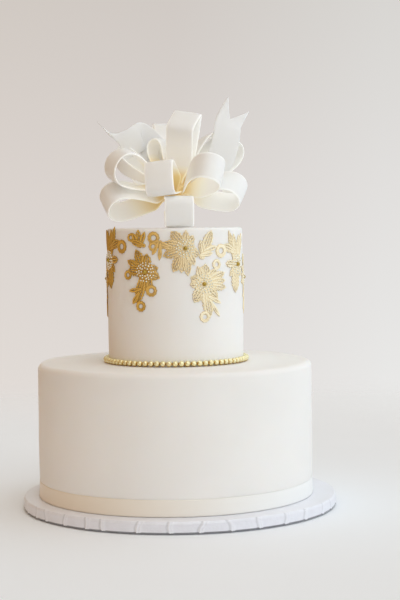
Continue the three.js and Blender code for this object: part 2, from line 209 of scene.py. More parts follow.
class Shader(Nodes):
    """A material with a Principled surface, laid out in the object's own coordinates."""

    def __init__(self, name):
        self.material = bpy.data.materials.new(name)
        self.material.use_nodes = True
        super().__init__(self.material.node_tree)
        self.surface = self.tree.nodes["Principled BSDF"]
        self.place = self.node("ShaderNodeTexCoord").outputs["Object"]

    def set(self, **values):
        """Values of the surface: a name with _ for a space, and a number, colour or socket."""
        for key, value in values.items():
            label = key.replace("_", " ").title().replace("Ior", "IOR")
            self.join(value, self.surface.inputs[label])

    def scatter(self, weight, scale, radius):
        """Light under the skin, and how far each colour of it travels."""
        self.set(subsurface_weight=weight, subsurface_scale=scale, subsurface_radius=radius)

    def stretched(self, x, y, z):
        return self.node("ShaderNodeMapping", {"Vector": self.place, "Scale": (x, y, z)}).outputs[0]

    def noise(self, scale, detail=2.0, vector=None):
        inputs = {"Vector": vector or self.place, "Scale": scale, "Detail": detail}
        return self.node("ShaderNodeTexNoise", inputs).outputs["Fac"]

    def cells(self, scale):
        inputs = {"Vector": self.place, "Scale": scale}
        return self.node("ShaderNodeTexVoronoi", inputs, feature="SMOOTH_F1").outputs["Distance"]

    def between(self, noise, low, high):
        """A noise's usual range spread over another one."""
        return self.remap(noise, *NOISE_RANGE, low, high)

    def mixed(self, share, first, second):
        made = self.node("ShaderNodeMix", {"Factor": share, 6: first, 7: second}, data_type="RGBA")
        return made.outputs[2]

    def attribute(self, name):
        return self.node("ShaderNodeAttribute", attribute_name=name).outputs["Fac"]

    def eased(self, name):
        return self.remap(self.attribute(name), 0.0, 1.0)

    def bump(self, height, depth, strength=1.0, under=None):
        inputs = {"Height": height, "Distance": depth, "Strength": strength}
        if under is not None:
            inputs["Normal"] = under
        return self.node("ShaderNodeBump", inputs).outputs["Normal"]


def shade(base, factor):
    return tuple(min(1.0, channel * factor) for channel in base)


def icing_material(colours):
    """Rolled icing: matt, faintly mottled, a little light under its skin."""
    s = Shader("rolled_icing")
    cloud = s.remap(s.noise(14.0, detail=3.0), 0.35, 0.7)
    s.set(
        base_color=s.mixed(cloud, shade(colours.icing, 0.985), shade(colours.icing, 1.01)),
        roughness=s.between(s.noise(60.0), 0.52, 0.62),
        specular_ior_level=0.35,
    )
    s.scatter(weight=0.12, scale=0.003, radius=(1.0, 0.7, 0.5))
    fine = s.bump(s.noise(900.0), depth=0.00006, strength=0.5)
    s.set(normal=s.bump(s.noise(45.0), depth=0.0005, strength=0.25, under=fine))
    return s.material


def satin_material(colours):
    """Satin ribbon: fine threads round the cake, a soft sheen, painted shade left, light right."""
    s = Shader("cream_satin")
    threads = s.noise(1.0, detail=1.0, vector=s.stretched(60.0, 60.0, 5200.0))
    # Painted light and shade: from the warm shaded colour on the left to white on the lit right.
    painted_light_share = s.eased("aside")
    dull = s.mixed(painted_light_share, shade(colours.satin_painted_shade, 0.96), shade(colours.satin, 0.96))
    s.set(
        base_color=s.mixed(threads, dull, s.mixed(painted_light_share, colours.satin_painted_shade, colours.satin)),
        roughness=s.between(threads, 0.30, 0.42),
        specular_ior_level=0.5,
        sheen_weight=0.15,
        sheen_roughness=0.4,
        normal=s.bump(threads, depth=0.00004, strength=0.6),
    )
    return s.material


def foil_material(colours):
    """White foil paper: embossed with a small leafy grain, cool in tone."""
    s = Shader("foil_paper")
    grain = s.remap(s.cells(420.0), 0.15, 0.6)
    cloud = s.noise(120.0, detail=3.0)
    crease = s.attribute("crease")
    paper = s.mixed(cloud, shade(colours.foil, 0.95), shade(colours.foil, 1.05))
    # Painted shade and shadow below a half of the painted shading layer, painted highlight above
    # it.
    paper = s.mixed(s.remap(crease, 0.0, 0.5), shade(colours.foil, 0.3), paper)
    dents = s.bump(cloud, depth=0.0004, strength=0.35)
    s.set(
        base_color=s.mixed(s.remap(crease, 0.5, 1.1), paper, shade(colours.foil, 1.14)),
        roughness=s.between(cloud, 0.30, 0.45),
        metallic=0.08,
        coat_weight=0.15,
        coat_roughness=0.25,
        normal=s.bump(grain, depth=0.00016, strength=0.45, under=dents),
    )
    return s.material


# Dried paste lets some light through. Its faces, deep faces and edges also carry painted light: a
# glow that stands in for scattered light, and a painted highlight along the edges.
PASTE = {
    "lets_through": 0.17, "through": (0.985, 0.99, 0.98), "deep_through": (1.0, 0.88, 0.58),
    "painted_glow": (0.13, 0.128, 0.118), "painted_deep_glow": (0.06, 0.05, 0.03), "painted_edge_highlight": (0.2, 0.2, 0.185),
}


def paste_material(colours):
    """Dried sugar paste: matt white faces, painted warm shade and painted glow deep inside the bow.
    """
    s = Shader("sugar_paste")
    # Painted light: warm shade and glow deep in the bow, a highlight along the strips' edges.
    warm = s.eased("warmth")
    painted_glow = s.mixed(warm, PASTE["painted_glow"], PASTE["painted_deep_glow"])
    painted_glow = s.mixed(s.eased("inside"), (0.0, 0.0, 0.0), painted_glow)
    cloud = s.noise(160.0, detail=3.0)
    face = s.mixed(cloud, shade(colours.paste, 0.985), shade(colours.paste, 1.015))
    waves = s.bump(cloud, depth=0.0003, strength=0.2)
    s.set(
        base_color=s.mixed(warm, face, colours.paste_painted_shade),
        roughness=s.between(cloud, 0.46, 0.58),
        specular_ior_level=0.35,
        emission_color=s.mixed(s.eased("rim"), painted_glow, PASTE["painted_edge_highlight"]),
        emission_strength=1.0,
        normal=s.bump(s.noise(700.0), depth=0.00005, strength=0.4, under=waves),
    )
    s.scatter(weight=0.3, scale=0.004, radius=(1.0, 0.95, 0.8))
    # The light let through is tinted warm where the paste is painted with warm shade.
    tint = s.mixed(warm, PASTE["through"], PASTE["deep_through"])
    through = s.node("ShaderNodeBsdfTranslucent", {"Color": tint}).outputs["BSDF"]
    surface = {"Fac": PASTE["lets_through"], 1: s.surface.outputs["BSDF"], 2: through}
    both = s.node("ShaderNodeMixShader", surface).outputs["Shader"]
    s.join(both, s.tree.nodes["Material Output"].inputs["Surface"])
    return s.material


def lace_material(colours):
    """Gold lace: bright raised cords over a threaded ground painted darker as shade; paler on the
    right.
    """
    s = Shader("gold_lace")
    # Painted shade: the lower the lace lies, the darker its gold.
    relief = s.remap(s.attribute("relief"), 0.38, 0.68)
    # Painted highlight: paler gold on the right, where the light falls.
    pale = s.eased("pale")
    brush = s.noise(260.0, detail=3.0)
    threads = s.noise(1.0, vector=s.stretched(2400.0, 2400.0, 2400.0))
    ground = s.mixed(pale, colours.lace_low, colours.lace_painted_highlight_low)
    cords = s.mixed(pale, colours.lace_high, colours.lace_painted_highlight)
    gold = s.mixed(relief, ground, cords)
    s.set(
        base_color=s.mixed(s.remap(brush, 0.3, 0.75, 0.0, 0.25), gold, cords),
        metallic=0.35,
        roughness=s.between(brush, 0.34, 0.48),
        specular_ior_level=0.5,
        normal=s.bump(threads, depth=0.00012, strength=0.7),
    )
    return s.material


def pearl_material(colours, name, base):
    """Gold pearl lustre: soft metal shine with a faintly clouded skin."""
    s = Shader(name)
    cloud = s.between(s.noise(520.0, detail=3.0), 0.0, 1.0)
    skin = s.mixed(cloud, shade(base, 0.86), shade(base, 1.1))
    s.set(
        # Painted shade between and under the pearls darkens the skin.
        base_color=s.mixed(s.eased("joint"), skin, colours.pearl_joint),
        metallic=0.5,
        roughness=s.remap(cloud, 0.0, 1.0, 0.18, 0.26),
        coat_weight=0.2,
        coat_roughness=0.12,
        normal=s.bump(cloud, depth=0.00004, strength=0.4),
    )
    return s.material


# ---------------------------------------------------------------- number helpers
def fade(x, start, end):
    """From 0 at the start to 1 at the end, in a straight line."""
    return np.clip((x - start) / (end - start), 0, 1)


def ease(x, start, end):
    """From 0 at the start to 1 at the end, smoothly."""
    share = fade(x, start, end)
    return share * share * (3 - 2 * share)


def hump(x, width, middle=0.0):
    """A rounded rise of 1 about its middle."""
    return np.exp(-(((x - middle) / width) ** 2))


def waves(angle, rows, rise=0.0):
    """Waves round a circle, from the count, phase, slant and size of each."""
    return sum(
        size * np.sin(count * angle + phase + slant * rise) for count, phase, slant, size in rows
    )


def unit(vectors):
    return vectors / np.linalg.norm(vectors, axis=-1, keepdims=True)


# ---------------------------------------------------------------- mesh making
def grid_faces(rows, columns, wrap=False, start=0):
    """Quads over a grid of points; wrap joins the last column to the first."""
    strips = columns if wrap else columns - 1
    i, j = np.meshgrid(np.arange(rows - 1), np.arange(strips), indexing="ij")
    low, high, k = i * columns + start, (i + 1) * columns + start, (j + 1) % columns
    return np.stack([low + j, low + k, high + k, high + j], -1).reshape(-1, 4).tolist()


def put_mesh(name, points, faces, materials, face_material=None, **attributes):
    """An object from points in millimetres. attributes are one number for each point."""
    mesh = bpy.data.meshes.new(name)
    mesh.from_pydata((np.asarray(points, float) * MM).tolist(), [], faces)
    for key, values in attributes.items():
        layer = mesh.attributes.new(key, "FLOAT", "POINT")
        layer.data.foreach_set("value", np.asarray(values, np.float32))
    for material in materials:
        mesh.materials.append(material)
    if face_material is not None:
        mesh.polygons.foreach_set("material_index", np.asarray(face_material, np.int32))
    mesh.polygons.foreach_set("use_smooth", np.ones(len(mesh.polygons), bool))
    mesh.update()
    piece = bpy.data.objects.new(name, mesh)
    bpy.context.scene.collection.objects.link(piece)
    return piece


def place_piece(piece, node):
    """Hands the piece to the frame: what it rides on and the part it stands for."""
    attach(piece, BODY)
    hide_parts(node)
    return piece


def turned(profile, sides, middle, warp=None):
    """Points and faces of [radius, height] pairs turned about a vertical line through the middle.
    The first and last pair lie on that line. warp gives a new radius and height for an angle,
    radius and height."""
    profile = np.asarray(profile, float)
    angle = np.linspace(0, 2 * math.pi, sides, endpoint=False)[None, :]
    radius = np.repeat(profile[1:-1, :1], sides, axis=1)
    height = np.repeat(profile[1:-1, 1:], sides, axis=1)
    if warp:
        radius, height = warp(angle, radius, height)
    points = np.stack([radius * np.cos(angle), radius * np.sin(angle), height], -1).reshape(-1, 3)
    rows = len(profile) - 2
    poles = np.array([[0, 0, profile[0, 1]], [0, 0, profile[-1, 1]]])
    faces = grid_faces(rows, sides, wrap=True)
    bottom, top = rows * sides, rows * sides + 1
    for j in range(sides):
        k = (j + 1) % sides
        faces.append([bottom, k, j])
        faces.append([top, (rows - 1) * sides + j, (rows - 1) * sides + k])
    return np.vstack([points, poles]) + np.asarray(middle, float), faces


def quarter(x, y, radius, start, end, steps):
    """Points of an arc about (x, y), from one angle to another, in degrees."""
    angle = np.radians(np.linspace(start, end, steps + 1))
    return np.stack([x + radius * np.cos(angle), y + radius * np.sin(angle)], -1).tolist()


def ball(middle, radius, rows, columns, squash=1.0):
    """Points and faces of a small sphere."""
    polar = np.linspace(0, math.pi, rows + 1)
    profile = radius * np.stack([np.sin(polar), -squash * np.cos(polar)], -1)
    return turned(profile, columns, middle)


class Heap:
    """Several closed shapes gathered into one mesh."""

    def __init__(self):
        self.points, self.faces, self.kinds, self.count = [], [], [], 0

    def add(self, points, faces, kind=0):
        self.points.append(np.asarray(points, float))
        self.faces.extend([[corner + self.count for corner in face] for face in faces])
        self.kinds.extend([kind] * len(faces))
        self.count += len(points)


# ---------------------------------------------------------------- board, tiers, ribbon, pearls
# Pleats seen from the front, in degrees to the right of it, and the lean of each along the rim.
FRONT_PLEATS = [
    (-55.0, 0.0), (-43.8, 0.3), (-33.9, 0.7), (-27.5, -0.4), (-14.5, 0.9), (-3.7, 0.2), (7.0, 1.0),
    (17.0, -0.8), (27.5, 0.1), (39.0, 0.6), (49.0, -0.3),
]
# The other pleats, in degrees: where they begin, how far apart they are and how far each may stray.
PLEATS_BEHIND = {"first": 60.0, "step": 10.8, "stray": 2.0}
# Across a pleat, in millimetres: half width and middle of each fold, then how far it stands out and
# how much painted highlight its paper gets (painted shade if negative), as shares of a whole pleat.
PLEAT_FOLDS = {
    "ridge": (0.8, 0.0, 1.0, 0.55),
    "lap": (0.9, 2.6, 0.6, 0.5),
    "tab": (1.6, 0.8, 0.6, 0.9),
    "dip": (1.3, -2.0, -0.35, -0.35),
}
PLEAT = {"slant": 4.0, "bend": 0.9, "lap_slant": 1.2, "tab_height": 2.6}
PAPER_WAVES = [(9, 1, 0, 0.10), (23, 0, 4, 0.08)]
PAPER_SAG = 0.12
BOARD = {"edge": 1.5, "undercut": 3.0, "undercut_height": 1.0, "sides": 1260, "seed": 5}
BOARD_TOP_RINGS = (149.5, 147.5, 145, 142, 138, 132, 120, 60, 0)


def pleat_places(draw):
    """Angle from +X, lean and size of every pleat round the board."""
    pleats = [(azimuth, lean, 1.0) for azimuth, lean in FRONT_PLEATS]
    azimuth, step, stray = (PLEATS_BEHIND[key] for key in ("first", "step", "stray"))
    while azimuth < 360 + FRONT_PLEATS[0][0] - step / 2:
        place = azimuth + draw.uniform(-stray, stray)
        pleats.append((place, draw.uniform(-0.9, 0.9), draw.uniform(0.7, 1.1)))
        azimuth += step
    return [(math.radians(azimuth - 90), lean, size) for azimuth, lean, size in pleats]


def make_board(sizes, colours):
    radius, height = sizes.board_radius / MM, sizes.board_height / MM
    stand = sizes.pleat_height / MM
    edge, cut, cut_top = BOARD["edge"], BOARD["undercut"], BOARD["undercut_height"]
    pleats = pleat_places(np.random.default_rng(BOARD["seed"]))

    def folds(angle, level):
        """How far the pleats stand out, and the painted highlight and shade of their creased paper.
        """
        rise = level / height
        out, light = waves(angle, PAPER_WAVES, rise), 0 * angle * level
        for place, lean, size in pleats:
            run = radius * ((angle - place + math.pi) % (2 * math.pi) - math.pi)
            run = run - PLEAT["slant"] * lean * (rise - 0.5)
            run = run - PLEAT["bend"] * size * np.sin(5 * rise + 9 * lean)
            for name, (width, middle, share, tone) in PLEAT_FOLDS.items():
                if name == "lap":
                    middle = middle + PLEAT["lap_slant"] * rise * lean
                fold = hump(run, width, middle)
                if name == "tab":
                    fold = fold * hump(level, PLEAT["tab_height"])
                out = out + size * stand * share * fold
                light = light + size * tone * fold
        return out - stand, light

    def warp(angle, ring, level):
        ring = ring + fade(ring, radius - 9, radius - 1) * folds(angle, level)[0]
        sag = PAPER_SAG * np.abs(np.sin(5 * angle + 2)) * (level > height - 0.01)
        return ring, level - sag * fade(ring, 136, 142)

    profile = [
        [0, 0],
        *[[r, 0] for r in (40, 120, radius - cut)],
        *[[r, cut_top] for r in (radius - cut, radius - 0.5)],
        [radius - 0.1, cut_top + 0.25],
        *[[radius, z] for z in np.linspace(edge, height - edge, 9)],
        *quarter(radius - edge, height - edge, edge, 0, 90, 5),
        *[[r, height] for r in BOARD_TOP_RINGS],
    ]
    points, faces = turned(profile, BOARD["sides"], (0, 0, 0), warp)
    # Painted shadow in a dark band at the foot of the rim; painted highlight and shade on the
    # pleats.
    rim = ease(np.hypot(points[:, 0], points[:, 1]), radius - 3, radius - 1.5)
    shadow = 2 * rim * (1 - ease(points[:, 2], cut_top + 0.3, cut_top + 0.9))
    light = folds(np.arctan2(points[:, 1], points[:, 0]), points[:, 2])[1]
    crease = 0.5 + 0.5 * rim * (light - shadow)
    piece = put_mesh("board_paper", points, faces, [foil_material(colours)], crease=crease)
    return place_piece(piece, "cake_board")


def icing_warp(radius, height, wander, seed):
    """Slow waves of rolled icing on a tier's side, none at its foot."""
    draw = np.random.default_rng(seed)
    rows = []
    for count in (2, 3, 5, 7, 11, 16):
        phase, slant = draw.uniform(0, 2 * math.pi), draw.uniform(-2.5, 2.5)
        rows.append((count, phase, slant, draw.uniform(0.5, 1.0) / count**0.5))
    total = sum(size for *_, size in rows)

    def warp(angle, ring, level):
        share = level / height
        side = fade(ring, 0.9 * radius, radius) * fade(share, 0, 0.06)
        ring = ring + side * wander * (waves(angle, rows, share) / total - 0.6)
        dip = wander * np.abs(np.sin(3 * angle + 1)) * fade(ring, 0.86 * radius, 0.96 * radius)
        return ring, level - dip * (share > 0.9)

    return warp


TIER_SIDES = 288


def make_tier(name, node, middle, radius, foot, height, corner, wander, seed, material):
    """One iced tier: it leans out over its lowest third, rises straight and rounds over on top."""
    lean = np.linspace(0, 1, 9)
    profile = [
        [0, 0],
        [foot * 0.6, 0],
        *[[foot + (radius - foot) * math.sin(k * math.pi / 2), k * height / 3] for k in lean],
        *[[radius, z] for z in np.linspace(height / 3, height - corner, 14)[1:-1]],
        *quarter(radius - corner, height - corner, corner, 0, 90, 8),
        *[[radius * share, height] for share in (0.93, 0.88, 0.8, 0.65, 0.4, 0.15, 0)],
    ]
    warp = icing_warp(radius, height, wander, seed)
    points, faces = turned(profile, TIER_SIDES, np.array(middle) / MM, warp)
    return place_piece(put_mesh(name, points, faces, [material]), node)


# The ribbon leans in with the icing by this much at its top, in millimetres, and wanders a little.
RIBBON = {"lean": 0.75, "sides": 360, "levels": 12, "dip": 0.12}
RIBBON_WAVES = [(6, 1, 0, 0.10), (17, 0, 0, 0.06)]


def make_ribbon(sizes, colours):
    outer, width = sizes.ribbon_radius / MM, sizes.ribbon_width / MM
    thickness = sizes.ribbon_thickness / MM
    sides = RIBBON["sides"]
    angle = np.linspace(0, 2 * math.pi, sides, endpoint=False)
    share = np.linspace(0, 1, RIBBON["levels"] + 1)
    inner_face = outer - thickness - RIBBON["lean"] * share + 0.6 * thickness * share
    outer_face = outer - RIBBON["lean"] * share
    reach = np.concatenate([inner_face, outer_face[::-1]])[:, None]
    level = np.concatenate([share, share[::-1]])[:, None]
    ring = reach + 0.5 * waves(angle, RIBBON_WAVES) * level
    top = width * level + RIBBON["dip"] * (np.sin(4 * angle + 2) - 1) * level
    points = np.stack([ring * np.cos(angle), ring * np.sin(angle), top], -1).reshape(-1, 3)
    faces = grid_faces(len(reach), sides, wrap=True)
    last = (len(reach) - 1) * sides
    faces += [[last + j, last + (j + 1) % sides, (j + 1) % sides, j] for j in range(sides)]
    # How far right each point lies, for the ribbon's painted light and shade.
    aside = 0.5 + 0.5 * points[:, 0] / outer
    points = points + np.array(RIBBON_MIDDLE) / MM
    piece = put_mesh("satin_ribbon", points, faces, [satin_material(colours)], aside=aside)
    return place_piece(piece, "foot_ribbon")


# How far one pearl differs from the next: its angle in radians, its place and its size.
PEARL_STRAY = {"angle": 0.0009, "place": 0.06, "smallest": 0.965, "flattest": 0.95, "lift": 0.02}
PEARL_SEED = 11
PEARL_MESH = (14, 20)


def make_pearls(sizes, colours):
    draw = np.random.default_rng(PEARL_SEED)
    radius, count = sizes.pearl_size / MM / 2, sizes.pearl_count
    circle = PEARLS_RADIUS / MM - radius
    middle = np.array(PEARLS_MIDDLE) / MM
    heap, joints = Heap(), []
    for i in range(count):
        angle = 2 * math.pi * (i + 1 / 3) / count + draw.normal(0, PEARL_STRAY["angle"])
        out = circle + draw.normal(0, PEARL_STRAY["place"])
        size = radius * draw.uniform(PEARL_STRAY["smallest"], 1.0)
        place = middle + [out * math.cos(angle), out * math.sin(angle), size + PEARL_STRAY["lift"]]
        points, faces = ball(place, size, *PEARL_MESH, draw.uniform(PEARL_STRAY["flattest"], 1.0))
        heap.add(points, faces)
        # Painted shade where a pearl meets its neighbours and on its underside.
        beside = np.abs((points - place) @ [-math.sin(angle), math.cos(angle), 0]) / size
        below = (place[2] - points[:, 2]) / size
        joints.append(np.maximum(ease(beside, 0.55, 0.95), ease(below, 0.35, 0.85)))
    points = np.concatenate(heap.points)
    material = pearl_material(colours, "gold_pearl", colours.pearl)
    piece = put_mesh("pearl_row", points, heap.faces, [material], joint=np.concatenate(joints))
    return place_piece(piece, "pearl_string")


# ---------------------------------------------------------------- lace
# Each motif is drawn on the unrolled wall, in millimetres right and up from its bead or foot.
# Petals run from one point to another with a width, and rings have a middle and a radius.
MOTIFS = {
    "drop": {
        "bead": True,
        "petals": [
            (3, 0, 14, 32, 8), (2, 0, 6, 29, 7), (0, 0, -5, 28, 7), (-1, 0, -12, 29, 7),
            (5, 12, 23, 18, 8), (3, 0, 19, 1, 7), (2, -2, 13, -11, 7), (-2, -2, -9, -11, 7),
            (2, 0, 3.5, -27, 14),
        ],
        "rings": [(25, 13, 6.5)],
    },
    "curl": {
        "petals": [(0, -5, 0, 10, 6), (2, -6, 7, 8, 5), (1, -5, -7, 7, 5), (6, -5, -8, -1, 6)],
        "rings": [(-8.5, 2.5, 4)],
    },
    "spray": {
        "bead": True,
        "petals": [
            (1, -2, -10, 21, 10), (0, 0, 2, 17, 10), (0, 0, -20, 11, 8), (1, 0, -19, 2, 10),
            (-1, 0, 13, 4, 9), (-1, 1, 14.5, -6, 9), (0, 0, 5, -15, 9), (0, 0, -2, -19, 9),
            (-1, 0, -9, -30, 10), (-5, -16, -18.5, -18, 4), (-7, -20, -14, -30, 5),
        ],
        "rings": [(-19.5, -3, 4.5), (6, -17.5, 5.5), (-5, -32, 5)],
    },
    "wide": {
        "bead": True,
        "petals": [
            (0, 0, -13, 16, 11), (0, -1, 1, 17, 7), (0, 0, 8, 12, 8), (-1, 0, 13.5, -7, 10),
            (0, 0, -11.5, -22, 10), (0, 0, -4, -23, 9), (0, 0, 2.5, -26, 8), (0, 0, 9, -16, 8),
            (0, 0, -22, 4, 11), (1, 0, -21, -7, 10), (-14, 1, -30, 6, 7), (-25, 5, -31, -6, 4),
            (-23, 4, -24, -11, 4),
        ],
        "rings": [(-29.5, 10, 5.8), (-30, 2, 4.4)],
    },
    "leaf": {
        "petals": [
            (-1, -2, 9.5, 22, 10), (0, -3, -2.5, 13, 6), (2, 3, 15, 7, 5), (-2, -1, 10.5, 1, 5),
        ],
        "rings": [],
    },
    "spread": {
        "bead": True,
        "petals": [
            (0, 0, -13, 7, 9), (1, 0, -14, 0, 8), (1, 1, -10, -17, 11), (0, 0, 2, 19, 11),
            (0, 0, -6, 17, 8), (0, 0, 14, 14, 8), (-1, 0, 24, 10.5, 9), (-1, 0, 25, 3, 8),
            (-1, 0, 26, -4, 8), (0, 0, 15, -14, 10), (0, 0, 1, -19, 9), (1, 0, 6, -32, 11),
            (6, -15, 17, -31, 4), (5, -12, 19, -18.5, 4),
        ],
        "rings": [(0.5, -30.5, 5.2), (14, 18, 4.8)],
    },
}

# Where each motif sits: its design, degrees to the right of the front, millimetres above the upper
# tier's foot, and whether it is mirrored.
LACE_PLACES = {
    "drop_left": ("drop", -71, 99, False),
    "curl_left": ("curl", -31, 118, False),
    "spray_left": ("spray", -25, 88.5, False),
    "wide_front": ("wide", 8.5, 110, False),
    "leaf_right": ("leaf", 23.5, 104.5, False),
    "spread_right": ("spread", 24, 76.5, False),
    "drop_right": ("drop", 63, 94, True),
    "spread_far_right": ("spread", 96, 80.5, True),
    "spray_far_left": ("spray", -97, 80.5, True),
    "drop_back_right": ("drop", 126, 96, False),
    "wide_back": ("wide", 186, 108, False),
    "curl_back_right": ("curl", 160, 76, False),
    "leaf_back_left": ("leaf", -148, 68, True),
    "drop_back_left": ("drop", -121, 97, True),
}

# Sizes of the lace, in millimetres: cords along its edges, veins that fan out along a petal with
# slits between them, scalloped petals, curled rings, and the round ground amid a flower.
LACE = {
    "hole": 0.42, "lift": 0.1, "shoulder": 0.3, "cord": 0.5, "cord_inset": 0.55, "rib": 0.5,
    "scallop": 3.2, "frill": 0.1, "vein_step": 2.4, "groove": 0.7, "curl": 0.22, "curls": 1.9,
    "slit_half": 0.42, "slit_length": 0.65, "slit_step": 3.0, "border": 0.9, "ground": 9.2,
    "margin": 7.5, "outside": 9.0,
}
# Where a petal is wide enough to be open work: from and to, along it, and its half width.
OPEN_WORK = {"from": 0.3, "to": 0.93, "half": 1.9}
# Beads of a flower: the middle one, then rings of small ones by radius, count and size.
MIDDLE_BEAD = {"size": 1.95, "squash": 1.15}
FLOWER_RINGS = [(3.7, 8, 0.9), (6.1, 13, 0.9), (8.4, 18, 0.8)]
BEAD_STRAY = {"turn": 0.18, "reach": 0.07}
GOLD, STAMEN, MIDDLE = 0, 1, 2
BEAD_MESHES = {STAMEN: (6, 9), MIDDLE: (12, 16)}


def petal_half_width(share):
    """Half the width of a petal along it, as a share of its full width."""
    widest = 0.6
    root = 0.28 + 0.22 * ease(share, 0, widest)
    tip = 0.5 * (1 - fade(share, widest, 1) ** 2)
    return np.where(share < widest, root, tip)


def petal_relief(right, up, petal, order, start):
    """Height of one petal, distance inside its outline, and distance inside its open work."""
    x0, y0, x1, y1, width = petal
    dx, dy = x1 - x0, y1 - y0
    span = math.hypot(dx, dy)
    share = ((right - x0) * dx + (up - y0) * dy) / span**2
    off = ((right - x0) * dy - (up - y0) * dx) / span
    along = np.clip(share, 0, 1)
    scallops = max(2, round(span / LACE["scallop"]))
    frill = LACE["frill"] * (width > 5)
    half = width * petal_half_width(along) * (1 + frill * np.cos(2 * math.pi * scallops * along))
    past = np.maximum(np.maximum(-share, share - 1), 0) * span
    edge = half - np.hypot(off, past)
    veins = max(1.5, width / LACE["vein_step"])
    vein = 0.5 * (veins * off / np.maximum(half, 0.5) + start)
    fan = 0.5 + 0.5 * np.cos(2 * math.pi * vein)
    level = 0.16 + 0.5 * fan * (along > 0.08) + 0.2 * hump(off, LACE["rib"]) + 0.05 * (order % 3)
    level = np.maximum(level, 0.25 + 0.72 * hump(edge, LACE["cord"], LACE["cord_inset"]))
    beside = np.abs(vein % 1 - 0.5) * 2 * half / veins
    row = along * span / LACE["slit_step"] + 0.5 * (np.floor(vein) % 2)
    apart = np.maximum(np.abs(row % 1 - 0.5) * LACE["slit_step"] - LACE["slit_length"], 0)
    slit = np.maximum(np.hypot(apart, beside) - LACE["slit_half"], LACE["border"] - edge)
    open_part = (along > OPEN_WORK["from"]) & (along < OPEN_WORK["to"]) & (half > OPEN_WORK["half"])
    return level, edge, np.where(open_part, np.minimum(edge, slit), edge)


def ring_relief(right, up, ring):
    """Height of one curled ring, and distance inside its cord."""
    x, y, radius = ring
    cord = radius * (1 - LACE["hole"])
    turn = np.arctan2(up - y, right - x)
    edge = cord / 2 - np.abs(np.hypot(right - x, up - y) - radius + cord / 2)
    edge = edge + LACE["curl"] * np.cos(round(LACE["curls"] * radius) * turn)
    spiral = 0.5 + 0.5 * np.cos(2 * math.pi * edge / LACE["vein_step"] + 1.2 + turn)
    return 0.2 + 0.25 * np.sqrt(np.clip(2 * edge / cord, 0, 1)) + 0.4 * spiral, edge


def lace_relief(right, up, motif, depth, draw):
    """Height above the wall and distance inside the outline, for points on the unrolled wall."""
    inside = np.full(right.shape, -LACE["outside"])
    height = np.zeros(right.shape)
    for order, petal in enumerate(motif["petals"]):
        level, edge, solid = petal_relief(right, up, petal, order, draw.uniform(0, 1))
        height = np.where((edge > -LACE["groove"]) & (edge <= 0), 0.3 * height, height)
        height = np.where(edge > 0, level, height)
        inside = np.maximum(inside, solid)
    for ring in motif["rings"]:
        level, edge = ring_relief(right, up, ring)
        height = np.where(edge > 0, np.maximum(level, 0.9 * height), height)
        inside = np.maximum(inside, edge)
    if motif.get("bead"):
        reach = np.hypot(right, up)
        height = np.where(reach < LACE["ground"], 0.3 + 0.3 * height, height)
        inside = np.maximum(inside, LACE["ground"] - reach)
    shoulder = np.clip(inside / LACE["shoulder"], 0, 1) ** 0.5
    return depth * (0.3 + 0.42 * np.clip(height, 0.2, 1.0)) * (0.35 + 0.65 * shoulder), inside


def lace_sheet(motif, depth, step, draw):
    """Points [right, up, height], faces and relief of a motif before it is bent round the tier."""
    ends = np.array([p[:2] for p in motif["petals"]] + [p[2:4] for p in motif["petals"]], float)
    reach = [[x + s * r, y + s * r] for x, y, r in motif["rings"] for s in (-1, 1)]
    spots = np.vstack([ends, reach]) if reach else ends
    low, high = spots.min(0) - LACE["margin"], spots.max(0) + LACE["margin"]
    xs, ys = np.arange(low[0], high[0], step), np.arange(low[1], high[1], step)
    right, up = np.meshgrid(xs, ys, indexing="ij")
    height, inside = lace_relief(right, up, motif, depth, draw)
    within = inside > 0
    cells = within[:-1, :-1] | within[1:, :-1] | within[:-1, 1:] | within[1:, 1:]
    slope_x, slope_y = np.gradient(inside, step)
    steep = np.maximum(slope_x**2 + slope_y**2, 0.3)
    move = np.where(within, 0.0, -inside / steep)
    limit = 0.95 * step
    right = right + np.clip(move * slope_x, -limit, limit)
    up = up + np.clip(move * slope_y, -limit, limit)
    height = np.where(within, height, 0.25 * depth)
    i, j = np.nonzero(cells)
    columns = len(ys)
    corner = i * columns + j
    quads = np.stack([corner, corner + columns, corner + columns + 1, corner + 1], -1)
    used, index = np.unique(quads, return_inverse=True)
    quads = index.reshape(-1, 4)
    flat = np.stack([right.ravel()[used], up.ravel()[used]], -1)
    front = np.column_stack([flat, height.ravel()[used]])
    back = np.column_stack([flat, np.zeros(len(used))])
    count = len(used)
    edges = np.concatenate([quads[:, [k, (k + 1) % 4]] for k in range(4)])
    keys = edges[:, 0] * count + edges[:, 1]
    rim = edges[~np.isin(keys, edges[:, 1] * count + edges[:, 0])]
    walls = np.column_stack([rim[:, 1], rim[:, 0], rim[:, 0] + count, rim[:, 1] + count])
    faces = np.concatenate([quads, quads[:, ::-1] + count, walls])
    relief = np.concatenate([front[:, 2] / depth, np.zeros(count)])
    return np.vstack([front, back]), faces.tolist(), relief


def bend_round(points, azimuth, height, radius):
    """Bends [right, up, out] points round the upper tier."""
    angle = math.radians(azimuth - 90) + points[:, 0] / radius
    out = radius + points[:, 2]
    bent = np.column_stack([out * np.cos(angle), out * np.sin(angle), height + points[:, 1]])
    return np.array(UPPER_MIDDLE) / MM + bent


def flower_beads(draw):
    """Place, size, kind and squash of every bead of a flower."""
    yield 0.0, 0.0, MIDDLE_BEAD["size"], MIDDLE, MIDDLE_BEAD["squash"]
    for ring, count, size in FLOWER_RINGS:
        for k in range(count):
            stray, reach = BEAD_STRAY["turn"], BEAD_STRAY["reach"]
            turn = 2 * math.pi * (k + draw.uniform(-stray, stray)) / count
            out = ring * draw.uniform(1 - reach, 1 + reach)
            yield out * math.cos(turn), out * math.sin(turn), size, STAMEN, 1.0


